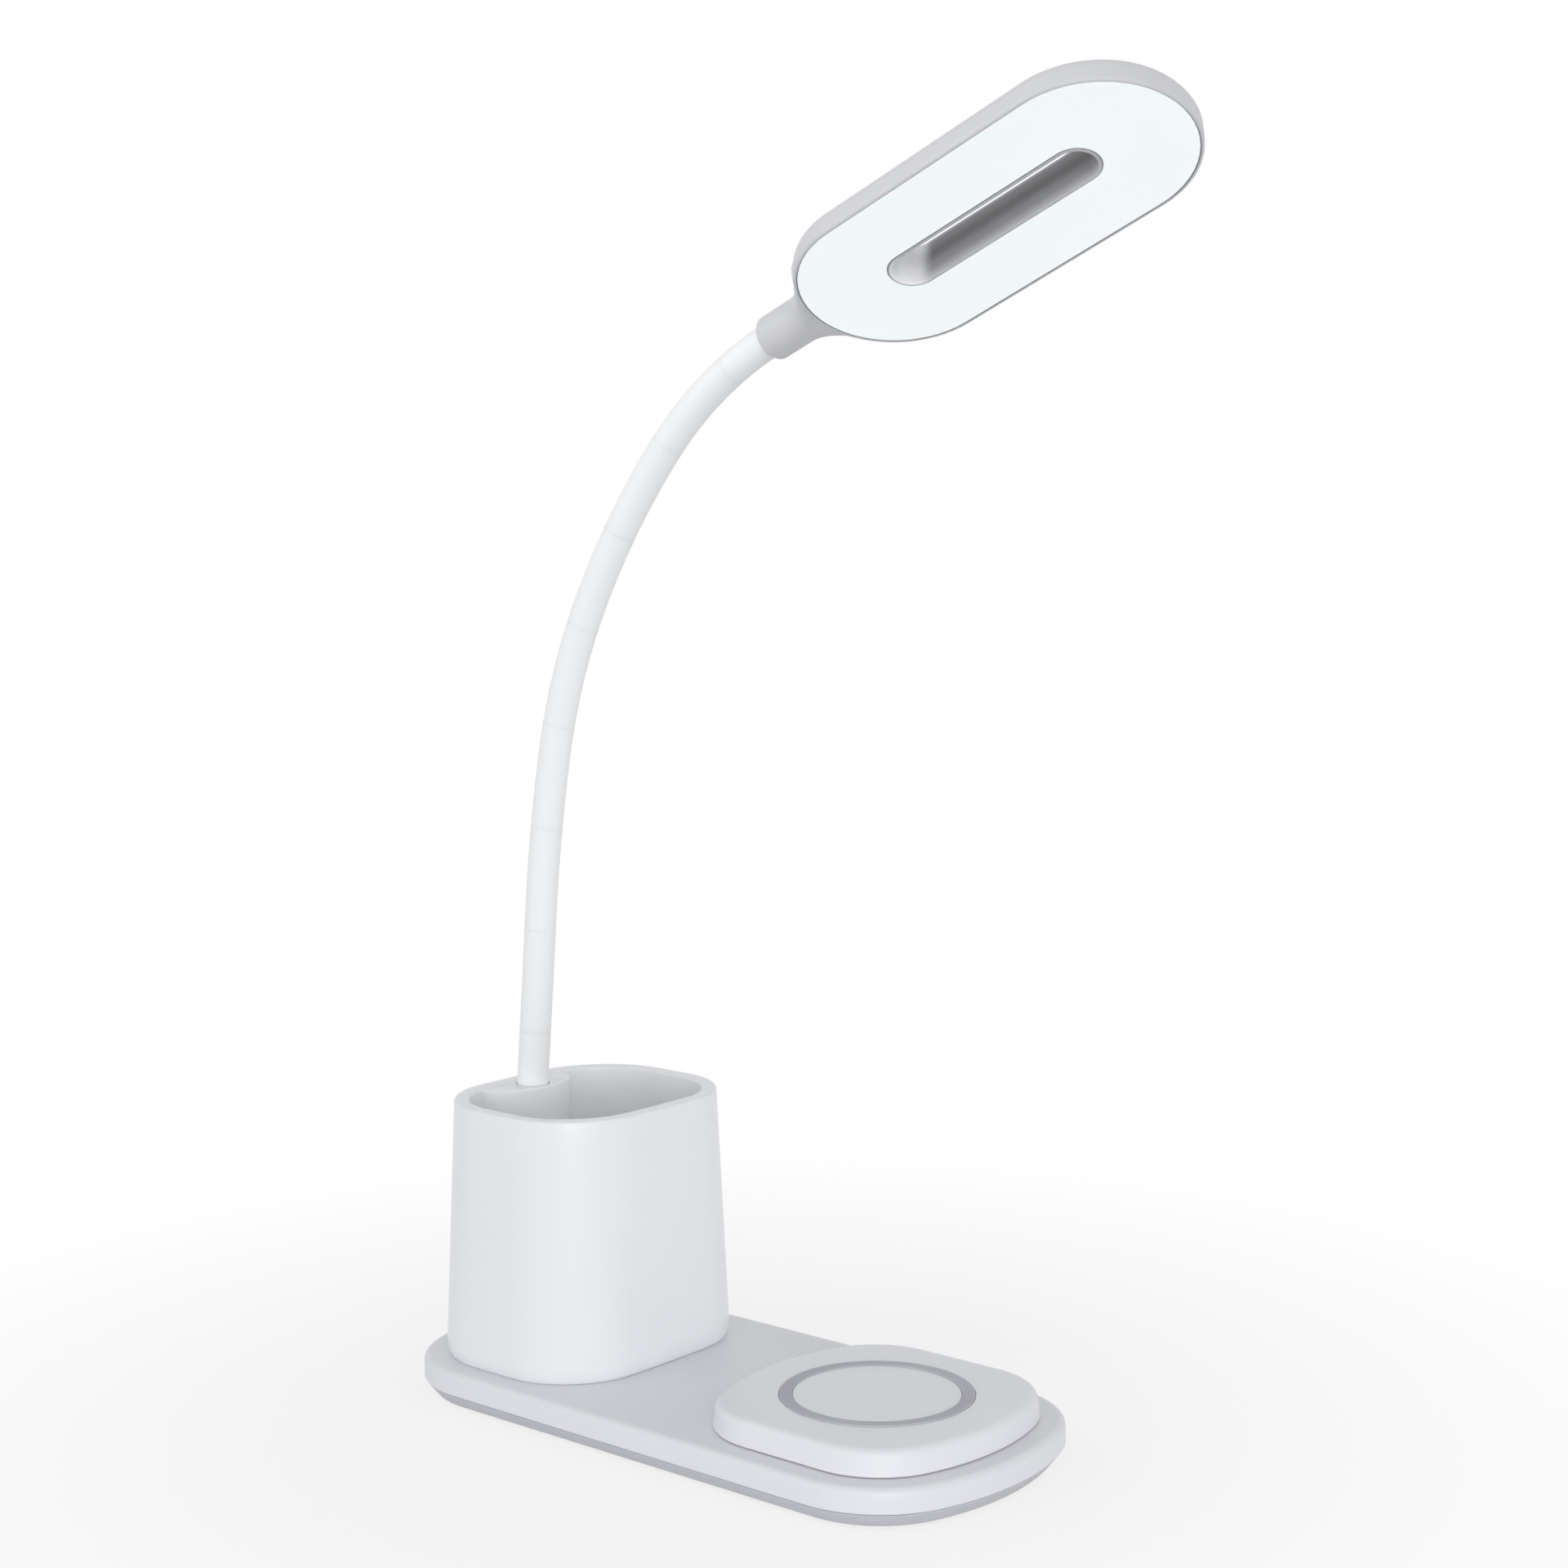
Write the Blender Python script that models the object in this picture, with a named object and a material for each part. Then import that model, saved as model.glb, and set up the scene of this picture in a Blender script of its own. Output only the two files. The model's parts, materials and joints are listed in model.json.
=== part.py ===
"""A desk lamp on a flat base that also carries a pen cup and a charging pad.

Metres, +Z up. The origin is the middle of the base's flat underside, which the rubber feet
lift a little off the desk. +X runs from the cup to the pad, and +Y to the back. The
gooseneck bends in the base's upright middle plane, and the head is rolled about the neck's
end, so that its light falls on the desk in front.
"""

import math

import bmesh
import bpy
from mathutils import Vector

# Clearances shared by every piece
GAP = 0.0003
OVERRUN = 0.001

# Base plan: straight long sides, strongly rounded corners, gently bowed ends
BASE_LENGTH = 0.179
BASE_DEPTH = 0.0844
BASE_CORNER = 0.0277
BASE_END_BOW = 0.0708

# Tray under the base
TRAY_HEIGHT = 0.0035
TRAY_FLOOR = 0.002
TRAY_SEAM_SETBACK = 0.0006
TRAY_SLOPE = 0.0024
TRAY_LIP_HEIGHT = 0.0017
TRAY_LIP_WIDTH = 0.0013

# Top cover of the base
COVER_HEIGHT = 0.00615
COVER_WALL = 0.0022
COVER_EDGE = 0.002
WIRE_HOLE = 0.006

# Rubber feet, let into the tray
FOOT_STAND = 0.0008
FOOT_DIAMETER = 0.0095
FOOT_RECESS = 0.001
FOOT_END_SETBACK = 0.0255
FOOT_SIDE_SETBACK = 0.0152
FOOT_EDGE = 0.0003

# Screws: one size for the tray, the cup and the pad
SCREW_SHANK = 0.0026
SCREW_HEAD = 0.0050
SCREW_HEAD_HEIGHT = 0.0012
SCREW_DRIVE = 0.0020
SCREW_DRIVE_DEPTH = 0.0006
TRAY_SCREW_END_SETBACK = 0.0130
TRAY_SCREW_SIDE_SETBACK = 0.0252
POST_DIAMETER = 0.0060
POST_BORE_DEPTH = 0.0034
CUP_SCREW_Y = 0.0190
PAD_SCREW_X = 0.0300
UPPER_SCREW_LENGTH = 0.0053
TRAY_SCREW_LENGTH = 0.0042

# Ballast plate under the cup
BALLAST_END_SETBACK = 0.0295
BALLAST_BOARD_SPACE = 0.013
BALLAST_DEPTH = 0.066
BALLAST_THICKNESS = 0.003
BALLAST_CORNER = 0.006
BALLAST_HOLE = 0.006
BALLAST_HOLE_Y = 0.022

# Control board, with its inlet in the back wall
BOARD_LENGTH = 0.050
BOARD_DEPTH = 0.056
BOARD_THICKNESS = 0.0012
BOARD_OFFSET = 0.0152
BOARD_INLET_SPACE = 0.0006
BOARD_STAND = 0.0008
BOARD_CORNER = 0.002
CHIP_SIDE = 0.007
CHIP_HEIGHT = 0.0009
CHIP_SHARES = ((-0.22, -0.3), (0.24, -0.12), (-0.1, 0.05))
CHOKE_DIAMETER = 0.008
CHOKE_HEIGHT = 0.0018
CHOKE_SHARES = ((0.28, 0.22), (0.02, -0.32))
INLET_OFFSET = 0.016
INLET_WIDTH = 0.00894
INLET_HEIGHT = 0.0030
INLET_DEPTH = 0.0073
INLET_SHELL = 0.0004
INLET_CAVITY = 0.0058
INLET_TONGUE_WIDTH = 0.0062
INLET_TONGUE_HEIGHT = 0.0007
INLET_TONGUE_LENGTH = 0.0050

# Touch electrode glued under the cover, between the cup and the pad
TOUCH_DIAMETER = 0.012
TOUCH_THICKNESS = 0.0004
TOUCH_SIDE_SETBACK = 0.0162

# Charging pad: a low drum on the right end of the base
PAD_SETBACK = 0.0062
PAD_LENGTH = 0.0722
PAD_HEIGHT = 0.00635
PAD_WALL = 0.0020
PAD_EDGE = 0.0024
PAD_DRAFT = 0.0005
GRIP_DIAMETER = 0.048
GRIP_WIDTH = 0.0032
GRIP_THICKNESS = 0.00085
GRIP_PROUD = 0.00035

# Coil stack inside the pad
CARRIER_DIAMETER = 0.050
CARRIER_THICKNESS = 0.0018
CARRIER_HOLE = 0.0065
CARRIER_RIM_WIDTH = 0.0012
CARRIER_RIM_HEIGHT = 0.0008
FERRITE_DIAMETER = 0.0465
FERRITE_THICKNESS = 0.0006
COIL_WIRE = 0.0008
COIL_PITCH = 0.00125
COIL_OUTER_RADIUS = 0.0215
COIL_TURNS = 9
COIL_POINTS_PER_TURN = 24
COIL_TAIL = 0.0016

# Pen cup: a drafted soft box, with a boss at its left wall that the neck stands in
CUP_SETBACK = 0.0081
CUP_FOOT_LENGTH = 0.0608
CUP_FOOT_DEPTH = 0.0740
CUP_RIM_LENGTH = 0.0578
CUP_RIM_DEPTH = 0.0683
CUP_HEIGHT = 0.0675
CUP_CORNER = 0.0208
CUP_BULGE_X = 0.0015
CUP_BULGE_Y = 0.0010
CUP_FOOT_ROUND = 0.0026
RIM_WIDTH = 0.0040
RIM_ROUND = 0.0007
CUP_SKIN = 0.0022
HOLLOW_HEIGHT = 0.044
POCKET_WALL = 0.0018
POCKET_FLOOR = 0.0040
POCKET_DRAFT = 0.0004
POCKET_ROUND = 0.0025
BOSS_REACH = 0.0108
BOSS_DEPTH = 0.0306
BOSS_ROOT = 0.0016
BOSS_DROP = 0.0004
CUP_POST_DIAMETER = 0.0075

# Gooseneck, with its lean from upright at equal steps from the cup to the head
NECK_DIAMETER = 0.0084
NECK_OFFSET = 0.00465
NECK_EXIT_RISE = 0.0005
NECK_LENGTH = 0.2240
NECK_LEANS = [math.radians(lean) for lean in (5.6, 4.8, 11.2, 28.4, 41.0, 66.3)]
NECK_JOINTS = 8
NECK_INSERT = 0.008

# Ferrules at the neck's two ends, and the nut under the cover
FERRULE_LENGTH = 0.008
STUD_DIAMETER = 0.0064
STUD_LENGTH = 0.0058
FERRULE_BORE = 0.0030
NUT_ACROSS_FLATS = 0.0110
NUT_HEIGHT = 0.0028
HEAD_FERRULE_LENGTH = 0.0042

# Lamp head: a stadium with a domed back, a round collar and a slot right through
HEAD_ROLL = math.radians(-25.2)
HEAD_REACH = 0.0715
HEAD_LENGTH = 0.1070
HEAD_WIDTH = 0.0484
HEAD_THICKNESS = 0.0110
HEAD_DROP = 0.0061
HEAD_SIDE = 0.0040
HEAD_CROWN_RUN = 0.0183
HEAD_LOWER_EDGE = 0.0004
HEAD_LIP = 0.0007
HEAD_LEDGE = 0.00105
COLLAR_DIAMETER = 0.01135
COLLAR_ROUND = 0.0018
WEB_START = 0.0100
WEB_SINK = 0.0075
WEB_HALF_WIDTH = 0.0165
WEB_HALF_HEIGHT = 0.0032
WEB_SPREAD_POWER = 2.4
SLOT_LENGTH = 0.0588
SLOT_WIDTH = 0.0101
SLOT_WALL = 0.0008
DIFFUSER_THICKNESS = 0.0012
DIFFUSER_SETBACK = 0.0001
GUIDE_THICKNESS = 0.0016
REFLECTOR_THICKNESS = 0.0005
LIGHT_BOX_DEPTH = 0.0027
ATTIC_SETBACK = 0.0070
ATTIC_RISE = 0.0036
STRIP_LENGTH = 0.058
STRIP_THICKNESS = 0.0010
STRIP_HEIGHT = 0.0022
LED_LENGTH = 0.0028
LED_PROUD = 0.0005
LED_HEIGHT = 0.0014
LED_COUNT = 11
HEAD_WIRE_BORE = 0.0030

# Smoothness
CORNER_STEPS = 5
BOW_STEPS = 6
STADIUM_STEPS = 12
EDGE_STEPS = 3
CROWN_STEPS = 6
ROUND_SIDES = 16
WIDE_SIDES = 32
SCREW_SIDES = 12
NUT_SIDES = 18
INLET_STEPS = 5
NECK_SIDES = 16
BALL_STEPS = 4
NECK_RUNS = 3
SHARP_ANGLE = math.radians(32)

# Levels and places that follow from the sizes above
COVER_Z = TRAY_HEIGHT + GAP
COVER_TOP_Z = COVER_Z + COVER_HEIGHT
COVER_CEILING_Z = COVER_TOP_Z - COVER_WALL
PAD_Z = COVER_TOP_Z + GAP
PAD_TOP_Z = PAD_Z + PAD_HEIGHT
FOOT_X = BASE_LENGTH / 2 - FOOT_END_SETBACK
FOOT_Y = BASE_DEPTH / 2 - FOOT_SIDE_SETBACK
TRAY_SCREW_X = BASE_LENGTH / 2 - TRAY_SCREW_END_SETBACK
TRAY_SCREW_Y = BASE_DEPTH / 2 - TRAY_SCREW_SIDE_SETBACK
PAD_X = BASE_LENGTH / 2 - PAD_SETBACK - PAD_LENGTH / 2
BOARD_X = PAD_X - BOARD_OFFSET
BOARD_Y = BASE_DEPTH / 2 - GAP - INLET_DEPTH - BOARD_INLET_SPACE - BOARD_DEPTH / 2
INLET_X = BOARD_X - INLET_OFFSET
BALLAST_LEFT = BALLAST_END_SETBACK - BASE_LENGTH / 2
BALLAST_LENGTH = BOARD_X - BOARD_LENGTH / 2 - BALLAST_BOARD_SPACE - BALLAST_LEFT
BALLAST_X = BALLAST_LEFT + BALLAST_LENGTH / 2
CUP_LEFT = CUP_SETBACK - BASE_LENGTH / 2
CUP_X = CUP_LEFT + CUP_FOOT_LENGTH / 2
BOSS_X = CUP_X - CUP_RIM_LENGTH / 2 + RIM_WIDTH
NECK_X = BOSS_X + NECK_OFFSET
TOUCH_X = (CUP_LEFT + CUP_FOOT_LENGTH + PAD_X - PAD_LENGTH / 2) / 2
TOUCH_Y = TOUCH_SIDE_SETBACK - BASE_DEPTH / 2
CUP_Z = COVER_TOP_Z + GAP
CUP_TOP_Z = CUP_Z + CUP_HEIGHT
CUP_FLOOR_Z = CUP_Z + POCKET_FLOOR
NECK_EXIT_Z = CUP_TOP_Z + NECK_EXIT_RISE
NECK_RADIUS = NECK_DIAMETER / 2
NECK_BORE = NECK_RADIUS + GAP
NECK_FOOT_Z = CUP_Z + FERRULE_LENGTH + GAP
HEAD_UNDERSIDE = -HEAD_DROP
DIFFUSER_Z = HEAD_UNDERSIDE + DIFFUSER_SETBACK
SEAT_Z = DIFFUSER_Z + DIFFUSER_THICKNESS + GAP
LIGHT_BOX_Z = SEAT_Z + LIGHT_BOX_DEPTH
ATTIC_Z = LIGHT_BOX_Z + ATTIC_RISE
SLEEVE_LENGTH = SLOT_LENGTH + 2 * SLOT_WALL
SLEEVE_WIDTH = SLOT_WIDTH + 2 * SLOT_WALL


def clear_scene():
    for thing in list(bpy.data.objects):
        bpy.data.objects.remove(thing, do_unlink=True)


def plastic(name, colour, roughness, metallic=0.0, glow=0.0):
    made = bpy.data.materials.new(name)
    made.use_nodes = True
    shader = made.node_tree.nodes["Principled BSDF"]
    shader.inputs["Base Color"].default_value = (*colour, 1.0)
    shader.inputs["Roughness"].default_value = roughness
    shader.inputs["Metallic"].default_value = metallic
    shader.inputs["Emission Color"].default_value = (*colour, 1.0)
    shader.inputs["Emission Strength"].default_value = glow
    made.diffuse_color = (*colour, 1.0)
    return made


# Outlines: closed lists of (x, y) points, counter-clockwise


def arc(centre, radius, start, end, steps):
    turns = [start + (end - start) * i / steps for i in range(steps + 1)]
    return [(centre[0] + radius * math.cos(t), centre[1] + radius * math.sin(t)) for t in turns]


def bowed_end(half_depth, corner, bow, inset):
    """The right end of a plan whose outermost point is x = 0, from the front up to the back."""
    rise = half_depth - corner
    run = math.sqrt((bow - corner) ** 2 - rise**2) - bow
    turn = math.atan2(rise, run + bow)
    back = arc((run, rise), corner - inset, turn, math.pi / 2, CORNER_STEPS)
    middle = arc((-bow, 0), bow - inset, -turn, turn, BOW_STEPS)
    front = [(x, -y) for x, y in reversed(back)]
    return front[:-1] + middle + back[1:]


def bowed_plan(length, depth, corner, bow, inset=0.0):
    end = bowed_end(depth / 2, corner, bow, inset)
    right = [(length / 2 + x, y) for x, y in end]
    return right + [(-x, -y) for x, y in right]


def four(x, y):
    return [(x, y), (-x, y), (-x, -y), (x, -y)]


def rectangle(length, depth, centre=(0, 0)):
    corners = four(length / 2, depth / 2)
    return [(centre[0] + x, centre[1] + y) for x, y in corners]


def soft_box(length, depth, corner, bulge_x=0.0, bulge_y=0.0, inset=0.0):
    """A box with round corners whose four sides swell by the bulges at their middles."""
    half_x = length / 2 - bulge_x - inset
    half_y = depth / 2 - bulge_y - inset
    radius = corner - inset
    middles = [(0, half_y), (-half_x, 0), (0, -half_y), (half_x, 0)]
    points = []
    for quarter, centre in enumerate(four(half_x - radius, half_y - radius)):
        start = quarter * math.pi / 2
        points += arc(centre, radius, start, start + math.pi / 2, CORNER_STEPS)
        if bulge_x or bulge_y:
            points.append(middles[quarter])
    swelled = []
    for x, y in points:
        swell_x = bulge_x * x / half_x * (1 - (y / half_y) ** 2)
        swell_y = bulge_y * y / half_y * (1 - (x / half_x) ** 2)
        swelled.append((x + swell_x, y + swell_y))
    return swelled


def stadium(length, width, inset=0.0, trim=0.0, steps=STADIUM_STEPS):
    """Two half circles and two straights; trim flattens the long sides."""
    radius = width / 2 - inset
    turn = math.asin((radius - trim) / radius)
    right = arc(((length - width) / 2, 0), radius, -turn, turn, steps)
    return right + [(-x, -y) for x, y in right]


def circle(radius, centre=(0, 0), sides=ROUND_SIDES):
    return arc(centre, radius, 0, 2 * math.pi, sides)[:-1]


def at_height(outline, z):
    return [Vector((x, y, z)) for x, y in outline]


# Solids


def finish(name, mesh_of, material, parent=None, location=(0, 0, 0)):
    bmesh.ops.recalc_face_normals(mesh_of, faces=mesh_of.faces)
    mesh = bpy.data.meshes.new(name)
    mesh_of.to_mesh(mesh)
    mesh_of.free()
    mesh.shade_smooth()
    mesh.set_sharp_from_angle(angle=SHARP_ANGLE)
    thing = bpy.data.objects.new(name, mesh)
    bpy.context.scene.collection.objects.link(thing)
    thing.location = location
    thing.parent = parent
    if material is None:
        thing.hide_render = True
        thing.display_type = "WIRE"
    else:
        mesh.materials.append(material)
    return thing


def add_loft(mesh_of, loops, ring=False):
    """Skins a stack of loops. A loop of one point is a pole, and a ring has no caps."""
    rows = [[mesh_of.verts.new(point) for point in loop] for loop in loops]
    pairs = list(zip(rows, rows[1:]))
    if ring:
        pairs.append((rows[-1], rows[0]))
    for lower, upper in pairs:
        count = max(len(lower), len(upper))
        for i in range(count):
            j = (i + 1) % count
            if len(lower) == 1:
                mesh_of.faces.new((lower[0], upper[j], upper[i]))
            elif len(upper) == 1:
                mesh_of.faces.new((lower[i], lower[j], upper[0]))
            else:
                mesh_of.faces.new((lower[i], lower[j], upper[j], upper[i]))
    if not ring:
        for row, order in ((rows[0], -1), (rows[-1], 1)):
            if len(row) > 1:
                mesh_of.faces.new(row[::order])


def loft(name, loops, material=None, ring=False, **where):
    mesh_of = bmesh.new()
    add_loft(mesh_of, loops, ring)
    return finish(name, mesh_of, material, **where)


def prism(name, outline, low, high, material=None, **where):
    return loft(name, [at_height(outline, low), at_height(outline, high)], material, **where)


def prisms(name, runs, material=None, **where):
    """Several separate prisms in one mesh, each (outline, low, high), for joining or cutting."""
    mesh_of = bmesh.new()
    for outline, low, high in runs:
        add_loft(mesh_of, [at_height(outline, low), at_height(outline, high)])
    return finish(name, mesh_of, material, **where)


def turned(name, profile, material=None, ring=False, sides=ROUND_SIDES, **where):
    """Turns (radius, height) points about the Z axis."""
    loops = []
    for radius, z in profile:
        loops.append(at_height(circle(radius, sides=sides), z) if radius else [Vector((0, 0, z))])
    return loft(name, loops, material, ring, **where)


def boolean(target, other, operation):
    step = target.modifiers.new(other.name, "BOOLEAN")
    step.object = other
    step.operation = operation
    step.solver = "EXACT"
    other.hide_render = True
    other.display_type = "WIRE"


def cut(target, *others):
    for other in others:
        boolean(target, other, "DIFFERENCE")


def join(target, *others):
    for other in others:
        boolean(target, other, "UNION")


def round_steps(run, rise, steps):
    """(inset, height) pairs up a quarter of an ellipse, from its side to its top."""
    turns = [math.pi / 2 * i / steps for i in range(steps + 1)]
    return [(run * (1 - math.cos(t)), rise * math.sin(t)) for t in turns]


# Screws: a domed head with a drive recess, head down


def screw(name, x, y, seat, length, material):
    """seat is the height of the head's upper face; the shank points up from it."""
    low = -SCREW_HEAD_HEIGHT
    profile = [
        (0, low + SCREW_DRIVE_DEPTH),
        (SCREW_DRIVE / 2, low + SCREW_DRIVE_DEPTH),
        (SCREW_DRIVE / 2, low),
        (SCREW_HEAD / 2 - GAP, low),
        (SCREW_HEAD / 2, low + GAP),
        (SCREW_HEAD / 2, 0),
        (SCREW_SHANK / 2, 0),
        (SCREW_SHANK / 2, length - SCREW_SHANK / 2),
        (0, length),
    ]
    return turned(name, profile, material, sides=SCREW_SIDES, location=(x, y, seat))


def base_plan(inset):
    return bowed_plan(BASE_LENGTH, BASE_DEPTH, BASE_CORNER, BASE_END_BOW, inset)


def inlet_opening(clearance):
    """The inlet's outline in X and Z, grown by a clearance."""
    return stadium(INLET_WIDTH, INLET_HEIGHT, -clearance, steps=INLET_STEPS)


def make_tray(material):
    bottom = TRAY_SEAM_SETBACK + TRAY_SLOPE
    loops = [
        at_height(base_plan(bottom + GAP), 0),
        at_height(base_plan(bottom), GAP),
        at_height(base_plan(TRAY_SEAM_SETBACK), TRAY_HEIGHT),
        at_height(base_plan(COVER_WALL + GAP), TRAY_HEIGHT),
        at_height(base_plan(COVER_WALL + GAP), TRAY_HEIGHT + TRAY_LIP_HEIGHT),
    ]
    tray = loft("base_bottom_tray", loops, material)
    inner = COVER_WALL + GAP + TRAY_LIP_WIDTH
    hollow = prism("tray_hollow", base_plan(inner), TRAY_FLOOR, COVER_CEILING_Z)
    recess = FOOT_DIAMETER / 2 + GAP
    feet = [(circle(recess, at), -OVERRUN, FOOT_RECESS) for at in four(FOOT_X, FOOT_Y)]
    heads = []
    shanks = []
    for at in four(TRAY_SCREW_X, TRAY_SCREW_Y):
        heads.append((circle(SCREW_HEAD / 2 + GAP, at), -OVERRUN, SCREW_HEAD_HEIGHT))
        shanks.append((circle(SCREW_SHANK / 2 + GAP, at), -OVERRUN, TRAY_FLOOR + OVERRUN))
    stands = []
    stand_x = BOARD_LENGTH / 2 - POST_DIAMETER / 2
    stand_y = BOARD_DEPTH / 2 - POST_DIAMETER / 2
    for x, y in four(stand_x, stand_y):
        foot = circle(POST_DIAMETER / 4, (BOARD_X + x, BOARD_Y + y))
        stands.append((foot, TRAY_FLOOR / 2, TRAY_FLOOR + BOARD_STAND - GAP))
    notch = rectangle(INLET_WIDTH + 2 * GAP, 2 * INLET_DEPTH, (INLET_X, BASE_DEPTH / 2))
    gate = prism("tray_inlet_notch", notch, inlet_height() - INLET_HEIGHT / 2 - GAP, COVER_CEILING_Z)
    cut(tray, hollow, gate, prisms("foot_recesses", feet), prisms("tray_screw_heads", heads))
    cut(tray, prisms("tray_screw_holes", shanks))
    join(tray, prisms("board_stands", stands))
    return tray


def make_cover(material):
    loops = [at_height(base_plan(0), COVER_Z)]
    for inset, rise in round_steps(COVER_EDGE, COVER_EDGE, EDGE_STEPS):
        loops.append(at_height(base_plan(inset), COVER_TOP_Z - COVER_EDGE + rise))
    cover = loft("base_top_cover", loops, material)
    hollow = prism("cover_hollow", base_plan(COVER_WALL), COVER_Z - OVERRUN, COVER_CEILING_Z)
    posts = []
    bores = []
    post_foot = TRAY_FLOOR + GAP
    for at in four(TRAY_SCREW_X, TRAY_SCREW_Y):
        posts.append((circle(POST_DIAMETER / 2, at), post_foot, COVER_CEILING_Z + OVERRUN))
        bores.append((circle(SCREW_SHANK / 2 + GAP, at), post_foot - OVERRUN, post_foot + POST_BORE_DEPTH))
    openings = [(circle(STUD_DIAMETER / 2 + GAP, (NECK_X, 0)), COVER_CEILING_Z - OVERRUN, CUP_Z)]
    openings.append((circle(WIRE_HOLE / 2, (PAD_X, 0)), COVER_CEILING_Z - OVERRUN, PAD_Z))
    for at in upper_screws():
        openings.append((circle(SCREW_SHANK / 2 + GAP, at), COVER_CEILING_Z - OVERRUN, CUP_Z))
    cut(cover, hollow)
    join(cover, prisms("cover_posts", posts))
    cut(cover, prisms("post_bores", bores), prisms("cover_openings", openings))
    cut(cover, inlet_gate())
    return cover


def inlet_height():
    board_top = TRAY_FLOOR + BOARD_STAND + BOARD_THICKNESS
    return board_top + GAP + INLET_HEIGHT / 2


def inlet_gate():
    """The notch in the cover's back wall that the inlet shows in, open down to the seam."""
    outline = []
    for x, z in inlet_opening(GAP):
        outline.append((INLET_X + x, inlet_height() + z if z > 0 else COVER_Z - OVERRUN))
    near = BASE_DEPTH / 2 - COVER_WALL - OVERRUN
    far = BASE_DEPTH / 2 + OVERRUN
    loops = [[Vector((x, y, z)) for x, z in outline] for y in (far, near)]
    return loft("inlet_gate", loops)


def upper_screws():
    cup = [(CUP_X, CUP_SCREW_Y), (CUP_X, -CUP_SCREW_Y)]
    pad = [(PAD_X + PAD_SCREW_X, 0), (PAD_X - PAD_SCREW_X, 0)]
    return cup + pad


def make_feet(material):
    radius = FOOT_DIAMETER / 2
    high = FOOT_STAND + FOOT_RECESS - GAP
    profile = [(0, 0), (radius - FOOT_EDGE, 0), (radius, FOOT_EDGE), (radius, high), (0, high)]
    for i, (x, y) in enumerate(four(FOOT_X, FOOT_Y)):
        turned(f"rubber_foot_{i + 1}", profile, material, location=(x, y, -FOOT_STAND))


def make_fasteners(material):
    for i, (x, y) in enumerate(four(TRAY_SCREW_X, TRAY_SCREW_Y)):
        seat = SCREW_HEAD_HEIGHT - GAP
        screw(f"tray_screw_{i + 1}", x, y, seat, TRAY_SCREW_LENGTH, material)
    names = ("cup_screw_1", "cup_screw_2", "pad_screw_1", "pad_screw_2")
    for name, (x, y) in zip(names, upper_screws()):
        screw(name, x, y, COVER_CEILING_Z - GAP, UPPER_SCREW_LENGTH, material)


def make_ballast(material):
    plan = soft_box(BALLAST_LENGTH, BALLAST_DEPTH, BALLAST_CORNER)
    plan = [(BALLAST_X + x, y) for x, y in plan]
    low = TRAY_FLOOR + GAP
    high = low + BALLAST_THICKNESS
    plate = prism("ballast_plate", plan, low, high, material)
    holes = []
    for y in (BALLAST_HOLE_Y, -BALLAST_HOLE_Y):
        hole = circle(BALLAST_HOLE / 2, (BALLAST_X + BALLAST_LENGTH / 4, y))
        holes.append((hole, low - OVERRUN, high + OVERRUN))
    cut(plate, prisms("ballast_holes", holes))


def make_board(material):
    low = TRAY_FLOOR + BOARD_STAND
    high = low + BOARD_THICKNESS
    sink = high - BOARD_THICKNESS / 2
    plan = [(BOARD_X + x, BOARD_Y + y) for x, y in soft_box(BOARD_LENGTH, BOARD_DEPTH, BOARD_CORNER)]
    board = prism("control_board", plan, low, high, material)
    blocks = []
    for share_x, share_y in CHIP_SHARES:
        at = (BOARD_X + BOARD_LENGTH * share_x, BOARD_Y + BOARD_DEPTH * share_y)
        blocks.append((rectangle(CHIP_SIDE, CHIP_SIDE, at), sink, high + CHIP_HEIGHT))
    for share_x, share_y in CHOKE_SHARES:
        at = (BOARD_X + BOARD_LENGTH * share_x, BOARD_Y + BOARD_DEPTH * share_y)
        blocks.append((circle(CHOKE_DIAMETER / 2, at), sink, high + CHOKE_HEIGHT))
    join(board, prisms("board_parts", blocks))


def make_inlet(material):
    """A small oval socket: a blind shell with a tongue standing in it, mouth to the back."""
    mouth = INLET_DEPTH
    floor = INLET_DEPTH - INLET_CAVITY
    outer = inlet_opening(0)
    inner = inlet_opening(-INLET_SHELL)
    loops = [
        at_height(inner, floor),
        at_height(inner, mouth),
        at_height(outer, mouth),
        at_height(outer, 0),
    ]
    back_face = BASE_DEPTH / 2 - GAP
    place = (INLET_X, back_face - INLET_DEPTH, inlet_height())
    shell = loft("power_inlet", loops, material, location=place)
    tongue = rectangle(INLET_TONGUE_WIDTH, INLET_TONGUE_HEIGHT)
    blade = prism("inlet_tongue", tongue, floor / 2, floor + INLET_TONGUE_LENGTH, location=place)
    for thing in (shell, blade):
        thing.rotation_euler = (-math.pi / 2, 0, 0)
    join(shell, blade)


def make_touch(material):
    high = COVER_CEILING_Z - GAP
    outline = circle(TOUCH_DIAMETER / 2, (TOUCH_X, TOUCH_Y))
    prism("touch_electrode", outline, high - TOUCH_THICKNESS, high, material)


def pad_plan(inset):
    """The base's own end line, set in, and the same again on the inner side."""
    depth = BASE_DEPTH - 2 * PAD_SETBACK
    corner = BASE_CORNER - PAD_SETBACK
    bow = BASE_END_BOW - PAD_SETBACK
    plan = bowed_plan(PAD_LENGTH, depth, corner, bow, inset)
    return [(PAD_X + x, y) for x, y in plan]


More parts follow.
